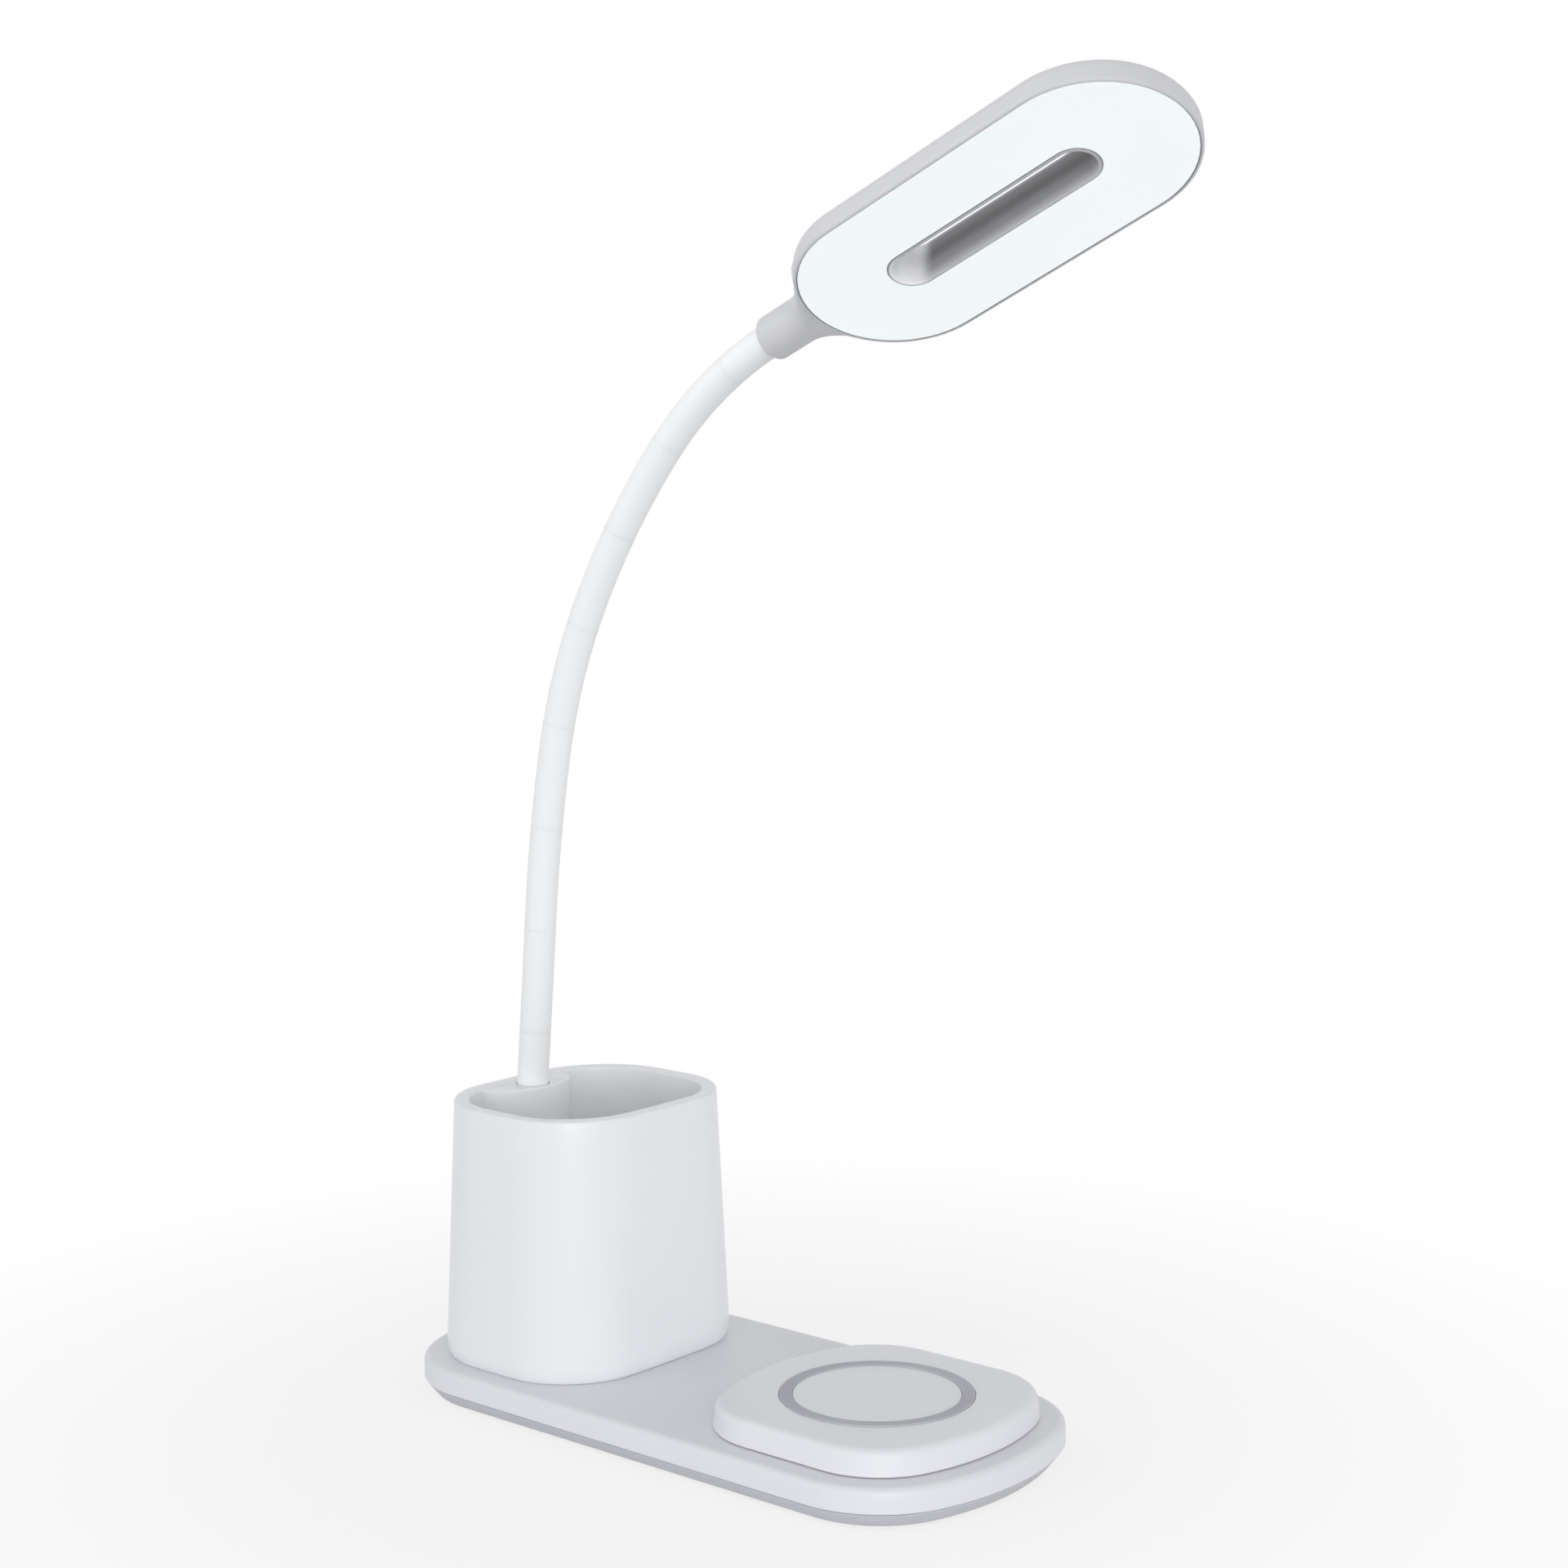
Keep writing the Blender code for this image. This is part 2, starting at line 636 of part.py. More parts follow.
def make_pad(body, grip):
    side = PAD_HEIGHT - PAD_EDGE
    loops = [at_height(pad_plan(0), PAD_Z)]
    for inset, rise in round_steps(PAD_EDGE, PAD_EDGE, EDGE_STEPS):
        loops.append(at_height(pad_plan(PAD_DRAFT + inset), PAD_Z + side + rise))
    pad = loft("charging_pad_cover", loops, body)
    ceiling = PAD_TOP_Z - PAD_WALL
    hollow = prism("pad_hollow", pad_plan(PAD_WALL + PAD_DRAFT), PAD_Z - OVERRUN, ceiling)
    posts = []
    bores = []
    for side_sign in (1, -1):
        at = (PAD_X + side_sign * PAD_SCREW_X, 0)
        posts.append((circle(POST_DIAMETER / 2 - GAP, at), PAD_Z, ceiling + OVERRUN))
        bores.append((circle(SCREW_SHANK / 2 + GAP, at), PAD_Z - OVERRUN, PAD_Z + POST_BORE_DEPTH))
    ring_top = PAD_TOP_Z + GRIP_PROUD
    ring_low = ring_top - GRIP_THICKNESS
    outer = GRIP_DIAMETER / 2
    inner = outer - GRIP_WIDTH
    groove = [
        (inner - GAP, ring_low - GAP),
        (outer + GAP, ring_low - GAP),
        (outer + GAP, ring_top + OVERRUN),
        (inner - GAP, ring_top + OVERRUN),
    ]
    place = (PAD_X, 0, 0)
    cut(pad, hollow)
    join(pad, prisms("pad_posts", posts))
    cut(pad, prisms("pad_post_bores", bores))
    cut(pad, turned("grip_groove", groove, ring=True, sides=WIDE_SIDES, location=place))
    profile = [(inner, ring_low), (outer, ring_low), (outer, ring_top), (inner, ring_top)]
    turned("pad_grip_ring", profile, grip, ring=True, sides=WIDE_SIDES, location=place)


def make_coil_stack(carrier_mat, ferrite_mat, copper):
    place = (PAD_X, 0, 0)
    low = PAD_Z
    high = low + CARRIER_THICKNESS
    outer = CARRIER_DIAMETER / 2
    rim = high + CARRIER_RIM_HEIGHT
    hole = CARRIER_HOLE / 2
    profile = [
        (hole, low),
        (outer, low),
        (outer, rim),
        (outer - CARRIER_RIM_WIDTH, rim),
        (outer - CARRIER_RIM_WIDTH, high),
        (hole, high),
    ]
    sides = WIDE_SIDES
    turned("coil_carrier", profile, carrier_mat, ring=True, sides=sides, location=place)
    low = high + GAP
    high = low + FERRITE_THICKNESS
    outer = FERRITE_DIAMETER / 2
    profile = [(hole, low), (outer, low), (outer, high), (hole, high)]
    turned("ferrite_sheet", profile, ferrite_mat, ring=True, sides=sides, location=place)
    make_coil(high + GAP + COIL_WIRE / 2, copper)


def coil_point(turn, z):
    """A flat spiral, wound from the outside in, one pitch a turn."""
    radius = COIL_OUTER_RADIUS - COIL_PITCH * turn
    around = 2 * math.pi * turn
    return Vector((PAD_X + radius * math.cos(around), radius * math.sin(around), z))


def make_coil(z, material):
    count = COIL_TURNS * COIL_POINTS_PER_TURN
    points = [coil_point(i / COIL_POINTS_PER_TURN, z) for i in range(count + 1)]
    first = (points[0] - points[1]).normalized() * COIL_TAIL
    last = (points[-1] - points[-2]).normalized() * COIL_TAIL
    points = [points[0] + first, *points, points[-1] + last]
    line = bpy.data.curves.new("charging_coil", "CURVE")
    line.dimensions = "3D"
    line.bevel_depth = COIL_WIRE / 2
    line.bevel_resolution = 1
    line.use_fill_caps = True
    spline = line.splines.new("POLY")
    spline.points.add(len(points) - 1)
    for slot, point in zip(spline.points, points):
        slot.co = (*point, 1)
    line.materials.append(material)
    coil = bpy.data.objects.new("charging_coil", line)
    bpy.context.scene.collection.objects.link(coil)
    least = min(
        (points[i] - points[j]).length
        for i in range(len(points))
        for j in range(i + COIL_POINTS_PER_TURN // 2, len(points))
    )
    print(f"charging coil: least gap to itself {(least - COIL_WIRE) * 1000:.2f} mm")


def cup_plan(share, inset):
    """The cup's outline between its foot (share 0) and its rim (share 1)."""
    length = CUP_FOOT_LENGTH + (CUP_RIM_LENGTH - CUP_FOOT_LENGTH) * share
    depth = CUP_FOOT_DEPTH + (CUP_RIM_DEPTH - CUP_FOOT_DEPTH) * share
    outline = soft_box(length, depth, CUP_CORNER, CUP_BULGE_X, CUP_BULGE_Y, inset)
    return [(CUP_X + x, y) for x, y in outline]


def cup_loop(z, inset):
    return at_height(cup_plan((z - CUP_Z) / CUP_HEIGHT, inset), z)


def pocket_loop(z, inset):
    """The pocket narrows a little downwards from the rim's inner edge."""
    draft = POCKET_DRAFT * (CUP_TOP_Z - z) / CUP_HEIGHT
    return at_height(cup_plan(1, RIM_WIDTH + draft + inset), z)


def boss_plan():
    """Half an oval that swells out of the cup's left wall, with a root inside the wall."""
    swell = arc((0, 0), 1, -math.pi / 2, math.pi / 2, 2 * CORNER_STEPS)
    half_depth = BOSS_DEPTH / 2
    root = [(BOSS_X - BOSS_ROOT, half_depth), (BOSS_X - BOSS_ROOT, -half_depth)]
    return root + [(BOSS_X + BOSS_REACH * x, half_depth * y) for x, y in swell]


def make_cup(material):
    foot = round_steps(CUP_FOOT_ROUND, CUP_FOOT_ROUND, EDGE_STEPS)
    loops = []
    for inset, rise in reversed(foot):
        loops.append(cup_loop(CUP_Z + CUP_FOOT_ROUND - rise, inset))
    for inset, rise in round_steps(RIM_ROUND, RIM_ROUND, EDGE_STEPS - 1):
        loops.append(cup_loop(CUP_TOP_Z - RIM_ROUND + rise, inset))
    cup = loft("pen_cup", loops, material)
    hollow_top = CUP_Z + HOLLOW_HEIGHT
    hollow = [cup_loop(CUP_Z - OVERRUN, CUP_SKIN + CUP_FOOT_ROUND / 4), cup_loop(hollow_top, CUP_SKIN)]
    lining_low = CUP_FLOOR_Z - POCKET_WALL
    lining = [pocket_loop(lining_low, -POCKET_WALL), pocket_loop(hollow_top + OVERRUN, -POCKET_WALL)]
    pocket = []
    for inset, rise in reversed(round_steps(POCKET_ROUND, POCKET_ROUND, EDGE_STEPS)):
        pocket.append(pocket_loop(CUP_FLOOR_Z + POCKET_ROUND - rise, inset))
    pocket.append(pocket_loop(CUP_TOP_Z - RIM_ROUND, 0))
    pocket.append(pocket_loop(CUP_TOP_Z, -RIM_ROUND))
    pocket.append(pocket_loop(CUP_TOP_Z + OVERRUN, -RIM_ROUND))
    boss_body = prism("neck_boss", boss_plan(), CUP_Z, CUP_TOP_Z - BOSS_DROP)
    bore = prism("neck_bore", circle(NECK_BORE, (NECK_X, 0)), CUP_Z - OVERRUN, CUP_TOP_Z + OVERRUN)
    posts = []
    bores = []
    for x, y in upper_screws()[:2]:
        posts.append((circle(CUP_POST_DIAMETER / 2, (x, y)), CUP_Z, CUP_FLOOR_Z - POCKET_WALL / 2))
        shank = circle(SCREW_SHANK / 2 + GAP, (x, y))
        bores.append((shank, CUP_Z - OVERRUN, CUP_FLOOR_Z - POCKET_WALL / 4))
    cut(cup, loft("cup_hollow", hollow))
    join(cup, loft("cup_lining", lining))
    cut(cup, loft("cup_pocket", pocket))
    join(cup, boss_body, prisms("cup_posts", posts))
    cut(cup, bore, prisms("cup_post_bores", bores))


def neck_mount():
    """Where the neck leaves the boss; the neck leans towards its X axis."""
    mount = bpy.data.objects.new("neck_mount", None)
    bpy.context.scene.collection.objects.link(mount)
    mount.location = (NECK_X, 0, NECK_EXIT_Z)
    return mount


def neck_lean(along):
    """The lean that far along the neck, which changes evenly from each step to the next."""
    spans = len(NECK_LEANS) - 1
    place = along / NECK_LENGTH * spans
    step = min(int(place), spans - 1)
    near, far = NECK_LEANS[step : step + 2]
    return near + (far - near) * (place - step)


def neck_point(along, steps=200):
    """A place on the neck's centre line, that far from where it leaves the boss."""
    x = z = 0.0
    step = along / steps
    for i in range(steps):
        lean = neck_lean((i + 0.5) * step)
        x += math.sin(lean) * step
        z += math.cos(lean) * step
    return Vector((x, 0, z))


def ring_of(centre, lean, radius, ahead):
    """A loop of the neck's skin, square to its centre line and a little way along it."""
    way = Vector((math.sin(lean), 0, math.cos(lean)))
    side = Vector((math.cos(lean), 0, -math.sin(lean)))
    middle = centre + way * ahead
    points = circle(radius, sides=NECK_SIDES)
    return [middle + side * x + Vector((0, y, 0)) for x, y in points]


def pole_of(centre, lean, ahead):
    return [centre + Vector((math.sin(lean), 0, math.cos(lean))) * ahead]


def ball_end(centre, lean):
    """A round end that stands in the next sleeve, centred on the bend between them."""
    loops = []
    for i in range(1, BALL_STEPS):
        turn = math.pi / 2 * i / BALL_STEPS
        loops.append(ring_of(centre, lean, NECK_RADIUS * math.cos(turn), NECK_RADIUS * math.sin(turn)))
    return [*loops, pole_of(centre, lean, NECK_RADIUS)]


def socket_end(centre, lean):
    """A hollow that fits round the sleeve below, from its pole out to its lip."""
    reach = NECK_RADIUS + GAP
    lip = math.asin(NECK_RADIUS / reach)
    loops = [pole_of(centre, lean, reach)]
    for i in range(1, BALL_STEPS + 1):
        turn = lip * i / BALL_STEPS
        loops.append(ring_of(centre, lean, reach * math.sin(turn), reach * math.cos(turn)))
    return loops


def joint_place(index):
    """Distance along the neck of a bend, counted from 1 at the cup."""
    return NECK_LENGTH * (index - 0.5) / NECK_JOINTS


def make_neck(mount, material):
    socket_lip = math.sqrt((NECK_RADIUS + GAP) ** 2 - NECK_RADIUS**2)
    for index in range(NECK_JOINTS + 1):
        start = joint_place(index) if index else 0.0
        end = joint_place(index + 1) if index < NECK_JOINTS else NECK_LENGTH
        origin = neck_point(start) if index else Vector((0, 0, 0))
        loops = []
        if index:
            loops += [[p - origin for p in loop] for loop in socket_end(origin, neck_lean(start))]
            first = start + 2 * socket_lip
        else:
            foot = Vector((0, 0, NECK_FOOT_Z - NECK_EXIT_Z))
            loops.append(ring_of(foot, 0, NECK_RADIUS, 0))
            first = start
        for run in range(NECK_RUNS + 1):
            along = first + (end - first) * run / NECK_RUNS
            loops.append([p - origin for p in ring_of(neck_point(along), neck_lean(along), NECK_RADIUS, 0)])
        tip = neck_point(end)
        if index < NECK_JOINTS:
            loops += [[p - origin for p in loop] for loop in ball_end(tip, neck_lean(end))]
        else:
            loops.append([p - origin for p in ring_of(tip, neck_lean(end), NECK_RADIUS, NECK_INSERT)])
        loft(f"neck_segment_{index}", loops, material, parent=mount, location=origin)


def make_neck_fittings(brass, steel):
    place = (NECK_X, 0, 0)
    bore = FERRULE_BORE / 2
    stud = STUD_DIAMETER / 2
    low = CUP_Z - STUD_LENGTH
    top = CUP_Z + FERRULE_LENGTH
    profile = [
        (bore, low),
        (stud - GAP, low),
        (stud, low + GAP),
        (stud, CUP_Z),
        (NECK_RADIUS, CUP_Z),
        (NECK_RADIUS, top),
        (bore, top),
    ]
    turned("neck_ferrule", profile, brass, ring=True, location=place)
    high = COVER_CEILING_Z - GAP
    hexagon = []
    for x, y in circle(1, sides=NUT_SIDES):
        turn = math.atan2(y, x) % (math.pi / 3) - math.pi / 6
        reach = NUT_ACROSS_FLATS / 2 / math.cos(turn)
        hexagon.append((x * reach, y * reach))
    hole = circle(stud + GAP, sides=NUT_SIDES)
    loops = [
        at_height(hole, high - NUT_HEIGHT),
        at_height(hexagon, high - NUT_HEIGHT),
        at_height(hexagon, high),
        at_height(hole, high),
    ]
    loft("neck_nut", loops, steel, ring=True, location=place)


def head_mount(mount):
    """The collar's mouth. X runs out along the head, Y across it and Z out of its back."""
    head = bpy.data.objects.new("head_mount", None)
    bpy.context.scene.collection.objects.link(head)
    head.parent = mount
    head.location = neck_point(NECK_LENGTH)
    head.rotation_euler = (HEAD_ROLL, NECK_LEANS[-1] - math.pi / 2, 0)
    return head


def head_plan(inset, trim=0.0):
    return [(HEAD_REACH + x, y) for x, y in stadium(HEAD_LENGTH, HEAD_WIDTH, inset, trim)]


def slot_plan(length, width, grow=0.0):
    return [(HEAD_REACH + x, y) for x, y in stadium(length, width, -grow)]


def along_x(x, half_width, half_height):
    return [Vector((x, half_width * a, half_height * b)) for a, b in circle(1)]


def make_collar(head):
    """A round neck socket that spreads and flattens into the head's end."""
    radius = COLLAR_DIAMETER / 2
    loops = []
    for inset, rise in reversed(round_steps(COLLAR_ROUND, COLLAR_ROUND, EDGE_STEPS)):
        loops.append(along_x(COLLAR_ROUND - rise, radius - inset, radius - inset))
    end = HEAD_REACH - HEAD_LENGTH / 2 + WEB_SINK
    steps = 2 * CROWN_STEPS
    for i in range(steps + 1):
        share = i / steps
        spread = share**WEB_SPREAD_POWER
        settle = share * share * (3 - 2 * share)
        half_width = radius + (WEB_HALF_WIDTH - radius) * spread
        half_height = radius + (WEB_HALF_HEIGHT - radius) * settle
        loops.append(along_x(WEB_START + (end - WEB_START) * share, half_width, half_height))
    return loft("collar_and_web", loops, parent=head)


def make_head(head, material):
    loops = [
        at_height(head_plan(HEAD_LOWER_EDGE), HEAD_UNDERSIDE),
        at_height(head_plan(0), HEAD_UNDERSIDE + HEAD_LOWER_EDGE),
    ]
    shoulder = HEAD_UNDERSIDE + HEAD_SIDE
    for inset, rise in round_steps(HEAD_CROWN_RUN, HEAD_THICKNESS - HEAD_SIDE, CROWN_STEPS):
        loops.append(at_height(head_plan(inset), shoulder + rise))
    housing = loft("head_housing", loops, material, parent=head)
    below = HEAD_UNDERSIDE - OVERRUN
    box_inset = HEAD_LIP + HEAD_LEDGE
    seat = prism("diffuser_seat", head_plan(HEAD_LIP), below, SEAT_Z, parent=head)
    light_box = prism("light_box", head_plan(box_inset), below, LIGHT_BOX_Z, parent=head)
    attic = prism("head_attic", head_plan(ATTIC_SETBACK), below, ATTIC_Z, parent=head)
    sleeve = slot_plan(SLEEVE_LENGTH, SLEEVE_WIDTH)
    sleeve = prism("slot_sleeve", sleeve, HEAD_UNDERSIDE, ATTIC_Z + OVERRUN, parent=head)
    slot = slot_plan(SLOT_LENGTH, SLOT_WIDTH)
    slot = prism("slot", slot, below, HEAD_THICKNESS, parent=head)
    bore_end = NECK_INSERT + HEAD_FERRULE_LENGTH + 2 * GAP
    bore = [along_x(-OVERRUN, NECK_BORE, NECK_BORE), along_x(bore_end, NECK_BORE, NECK_BORE)]
    bore = loft("collar_bore", bore, parent=head)
    wire = HEAD_WIRE_BORE / 2
    wire_end = HEAD_REACH - HEAD_LENGTH / 2 + ATTIC_SETBACK + OVERRUN
    wire = [along_x(bore_end - OVERRUN, wire, wire), along_x(wire_end, wire, wire)]
    wire = loft("head_wire_bore", wire, parent=head)
    join(housing, make_collar(head))
    cut(housing, seat, light_box, attic)
    join(housing, sleeve)
    cut(housing, slot, bore, wire)


def make_light_parts(head, diffuser_mat, guide_mat, sheet_mat, strip_mat):
    hole = slot_plan(SLEEVE_LENGTH, SLEEVE_WIDTH, GAP)
    through = HEAD_THICKNESS
    slot_hole = prism("light_slot_hole", hole, HEAD_UNDERSIDE - OVERRUN, through, parent=head)
    top = DIFFUSER_Z + DIFFUSER_THICKNESS
    face = prism("diffuser", head_plan(HEAD_LIP + GAP), DIFFUSER_Z, top, diffuser_mat, parent=head)
    inset = HEAD_LIP + HEAD_LEDGE + GAP
    trim = STRIP_THICKNESS + LED_PROUD + GAP
    low = top + GAP
    high = low + GUIDE_THICKNESS
    guide = prism("light_guide", head_plan(inset, trim), low, high, guide_mat, parent=head)
    sheet_low = high + GAP
    sheet_high = sheet_low + REFLECTOR_THICKNESS
    plan = head_plan(inset, trim)
    sheet = prism("reflector_sheet", plan, sheet_low, sheet_high, sheet_mat, parent=head)
    for thing in (face, guide, sheet):
        cut(thing, slot_hole)
    for name, side in (("led_strip_front", -1), ("led_strip_back", 1)):
        outer = HEAD_WIDTH / 2 - inset
        middle = outer - STRIP_THICKNESS / 2
        bar = rectangle(STRIP_LENGTH, STRIP_THICKNESS, (HEAD_REACH, side * middle))
        strip = prism(name, bar, low, low + STRIP_HEIGHT, strip_mat, parent=head)
        lamps = []
        for i in range(LED_COUNT):
            x = HEAD_REACH + STRIP_LENGTH * ((i + 0.5) / LED_COUNT - 0.5)
            lamp = rectangle(LED_LENGTH, 2 * LED_PROUD, (x, side * (outer - STRIP_THICKNESS)))
            lamps.append((lamp, low + GAP, low + GAP + LED_HEIGHT))
        join(strip, prisms(f"{name}_lamps", lamps, parent=head))


def make_head_ferrule(head, brass):
    bore = FERRULE_BORE / 2
    near = NECK_INSERT + GAP
    far = near + HEAD_FERRULE_LENGTH
    loops = [
        along_x(near, bore, bore),
        along_x(near, NECK_RADIUS, NECK_RADIUS),
        along_x(far, NECK_RADIUS, NECK_RADIUS),
        along_x(far, bore, bore),
    ]
    loft("head_ferrule", loops, brass, ring=True, parent=head)


def main():
    clear_scene()
    satin_white = plastic("satin_white_plastic", (0.86, 0.86, 0.87), 0.32)
    cup_white = plastic("cup_white_plastic", (0.87, 0.87, 0.88), 0.28)
    pad_white = plastic("pad_white_plastic", (0.86, 0.86, 0.87), 0.3)
    tray_grey = plastic("tray_grey_plastic", (0.66, 0.66, 0.69), 0.5)
    head_white = plastic("head_white_plastic", (0.80, 0.80, 0.83), 0.45)
    diffuser_white = plastic("diffuser_opal", (0.93, 0.98, 0.98), 0.4, glow=1.0)
    silicone = plastic("neck_silicone", (0.88, 0.88, 0.89), 0.5)
    rubber = plastic("foot_rubber", (0.12, 0.12, 0.13), 0.85)
    grip = plastic("grip_silicone", (0.62, 0.62, 0.64), 0.7)
    steel = plastic("zinc_steel", (0.62, 0.63, 0.65), 0.35, 1.0)
    ballast = plastic("ballast_steel", (0.42, 0.43, 0.45), 0.5, 1.0)
    brass = plastic("ferrule_brass", (0.80, 0.62, 0.34), 0.3, 1.0)
    board = plastic("board_green", (0.05, 0.22, 0.12), 0.5)
    copper = plastic("coil_copper", (0.72, 0.36, 0.18), 0.35, 1.0)
    foil = plastic("touch_copper", (0.74, 0.42, 0.26), 0.4, 1.0)
    ferrite = plastic("ferrite_dark", (0.09, 0.09, 0.10), 0.7)
    carrier = plastic("carrier_black", (0.06, 0.06, 0.065), 0.55)
    inlet = plastic("inlet_steel", (0.70, 0.71, 0.72), 0.28, 1.0)
    guide = plastic("guide_acrylic", (0.90, 0.94, 0.95), 0.1)
    sheet = plastic("reflector_white", (0.94, 0.94, 0.94), 0.6)
    strip = plastic("strip_white", (0.88, 0.87, 0.78), 0.5)

    make_tray(tray_grey)
    make_cover(satin_white)
    make_feet(rubber)
    make_fasteners(steel)
    make_ballast(ballast)
    make_board(board)
    make_inlet(inlet)
    make_touch(foil)
    make_pad(pad_white, grip)
    make_coil_stack(carrier, ferrite, copper)
    make_cup(cup_white)
    make_neck_fittings(brass, steel)
    mount = neck_mount()
    make_neck(mount, silicone)
    head = head_mount(mount)
    make_head(head, head_white)
    make_light_parts(head, diffuser_white, guide, sheet, strip)
    make_head_ferrule(head, brass)


main()
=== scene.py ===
"""The desk lamp dressed for the picture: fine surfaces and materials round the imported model.

Metres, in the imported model's frame. Each piece is a closed mesh made by a short function, rides on
one body of the model and, where it covers a solid, stands for it.
"""

import json
import math

import bmesh
import bpy
import numpy as np
from mathutils import Matrix, Vector


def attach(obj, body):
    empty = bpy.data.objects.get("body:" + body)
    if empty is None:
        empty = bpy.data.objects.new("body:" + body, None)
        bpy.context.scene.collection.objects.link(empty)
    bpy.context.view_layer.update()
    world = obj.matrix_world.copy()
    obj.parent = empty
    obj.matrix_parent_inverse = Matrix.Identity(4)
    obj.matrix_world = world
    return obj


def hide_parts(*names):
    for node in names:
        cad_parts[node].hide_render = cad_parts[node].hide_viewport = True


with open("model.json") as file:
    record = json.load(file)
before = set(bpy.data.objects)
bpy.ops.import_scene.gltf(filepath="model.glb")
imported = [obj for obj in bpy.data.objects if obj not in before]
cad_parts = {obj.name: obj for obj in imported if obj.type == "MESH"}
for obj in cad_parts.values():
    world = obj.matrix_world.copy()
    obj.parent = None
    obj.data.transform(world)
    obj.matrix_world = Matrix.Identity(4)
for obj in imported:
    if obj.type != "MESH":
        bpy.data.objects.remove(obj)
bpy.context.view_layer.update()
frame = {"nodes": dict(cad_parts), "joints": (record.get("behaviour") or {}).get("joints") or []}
nodes = frame["nodes"]

MM = 0.001
GAP = 0.3 * MM
OVERRUN = 1.0 * MM

# Base, whose plan is a length, a depth, a corner radius and the radius that bows the ends
DESK_Z = -0.8 * MM
BASE = (179.0 * MM, 84.4 * MM, 27.7 * MM, 70.8 * MM)
TRAY_TOP = 3.5 * MM
TRAY_EDGE = 0.3 * MM
TRAY_FLOOR = 2.0 * MM
TRAY_LIP = (2.5 * MM, 1.3 * MM, 1.7 * MM)
COVER_LOW = 3.8 * MM
COVER_TOP = 9.95 * MM
COVER_WALL = 2.2 * MM
COVER_EDGE = 2.0 * MM
COVER_LOWER_EDGE = 0.3 * MM
FOOT_PLACE = (64.0 * MM, 27.0 * MM)
FOOT_RADIUS = 4.75 * MM
FOOT_SEAT = 1.0 * MM
SCREW_PLACE = (76.5 * MM, 17.0 * MM)
SCREW_RADIUS = 2.5 * MM
SCREW_SEAT = 1.2 * MM

# Power inlet: where its mouth is, its outer size, depth and cavity, and the tongue inside
INLET_X = 16.0 * MM
INLET_Z = 5.8 * MM
INLET_MOUTH_Y = BASE[1] / 2 - GAP
INLET = (8.94 * MM, 3.0 * MM)
INLET_DEPTH = 7.3 * MM
INLET_FLOOR_Y = INLET_MOUTH_Y - 5.8 * MM
TONGUE = (6.2 * MM, 0.7 * MM, 5.0 * MM)
CONTACTS = 12
CONTACT_PITCH = 0.46 * MM

# Charging pad and the grip ring let into it
PAD_X = 47.2 * MM
PAD_LENGTH = 72.2 * MM
PAD_HEIGHT = 6.35 * MM
PAD_LOW = COVER_TOP + GAP
PAD_TOP = PAD_LOW + PAD_HEIGHT
PAD_INSET = 6.2 * MM
PAD_EDGE = 2.4 * MM
PAD_LOWER_EDGE = 0.2 * MM
PAD_DRAFT = 0.5 * MM
RING_INNER = 20.8 * MM
RING_OUTER = 24.0 * MM
RING_HEIGHT = 0.85 * MM
RING_PROUD = 0.35 * MM
RING_GROOVE = 0.6 * MM
RING_PLAY = 0.15 * MM

# Pen cup, and the boss at its left wall that the neck rises through
CUP_X = -51.0 * MM
CUP_LOW = COVER_TOP + GAP
CUP_TOP = CUP_LOW + 67.5 * MM
CUP_FLOOR = CUP_LOW + 4.0 * MM
CUP_FOOT = (60.8 * MM, 74.0 * MM)
CUP_RIM = (57.8 * MM, 68.3 * MM)
CUP_SHAPE = (20.8 * MM, 1.5 * MM, 1.0 * MM)
CUP_EDGE = 0.7 * MM
CUP_FOOT_EDGE = (1.6 * MM, 4.2 * MM)
POCKET_ROUND = 2.5 * MM
POCKET_DRAFT = 0.4 * MM
RIM_WIDTH = 4.0 * MM
BOSS_X = -75.9 * MM
BOSS = (10.8 * MM, 15.3 * MM)
BOSS_BACK = 1.6 * MM
BOSS_TOP = CUP_TOP - 0.4 * MM
BOSS_EDGE = 0.5 * MM
BOSS_BORE = 4.5 * MM
BOSS_BORE_DEPTH = 14.0 * MM

# Gooseneck, whose lean from upright is given at even steps from the cup to the head
NECK_X = -71.25 * MM
NECK_EXIT = CUP_TOP + 0.5 * MM
NECK_RADIUS = 4.2 * MM
NECK_LENGTH = 224.0 * MM
NECK_JOINTS = 8
NECK_FOOT = 12.0 * MM
NECK_INSERT = 6.0 * MM
LEANS = [math.radians(lean) for lean in (5.6, 4.8, 11.2, 28.4, 41.0, 66.3)]
LIMITS = [math.radians(joint["range_deg"][1]) for joint in frame["joints"]]
ROOM = 0.035 * MM
HAIRLINE = 0.01 * MM

# Head sizes, in the frame of the collar's mouth, whose X axis runs on along the head
HEAD_ROLL = math.radians(-25.2)
REACH = 71.5 * MM
HEAD = (107.0 * MM, 48.4 * MM)
FACE = -6.1 * MM
SHOULDER = FACE + 4.0 * MM
CROWN = (18.3 * MM, 7.0 * MM)
HEAD_TOP = SHOULDER + CROWN[1]
FACE_EDGE = 0.4 * MM
LIP = 0.7 * MM
SLOT = (58.8 * MM, 10.1 * MM)
SLEEVE = (60.4 * MM, 11.7 * MM)
PANEL = (HEAD[0] - 2 * LIP, HEAD[1] - 2 * LIP)
PANEL_RECESS = 1.6 * MM
SEAM = 0.28

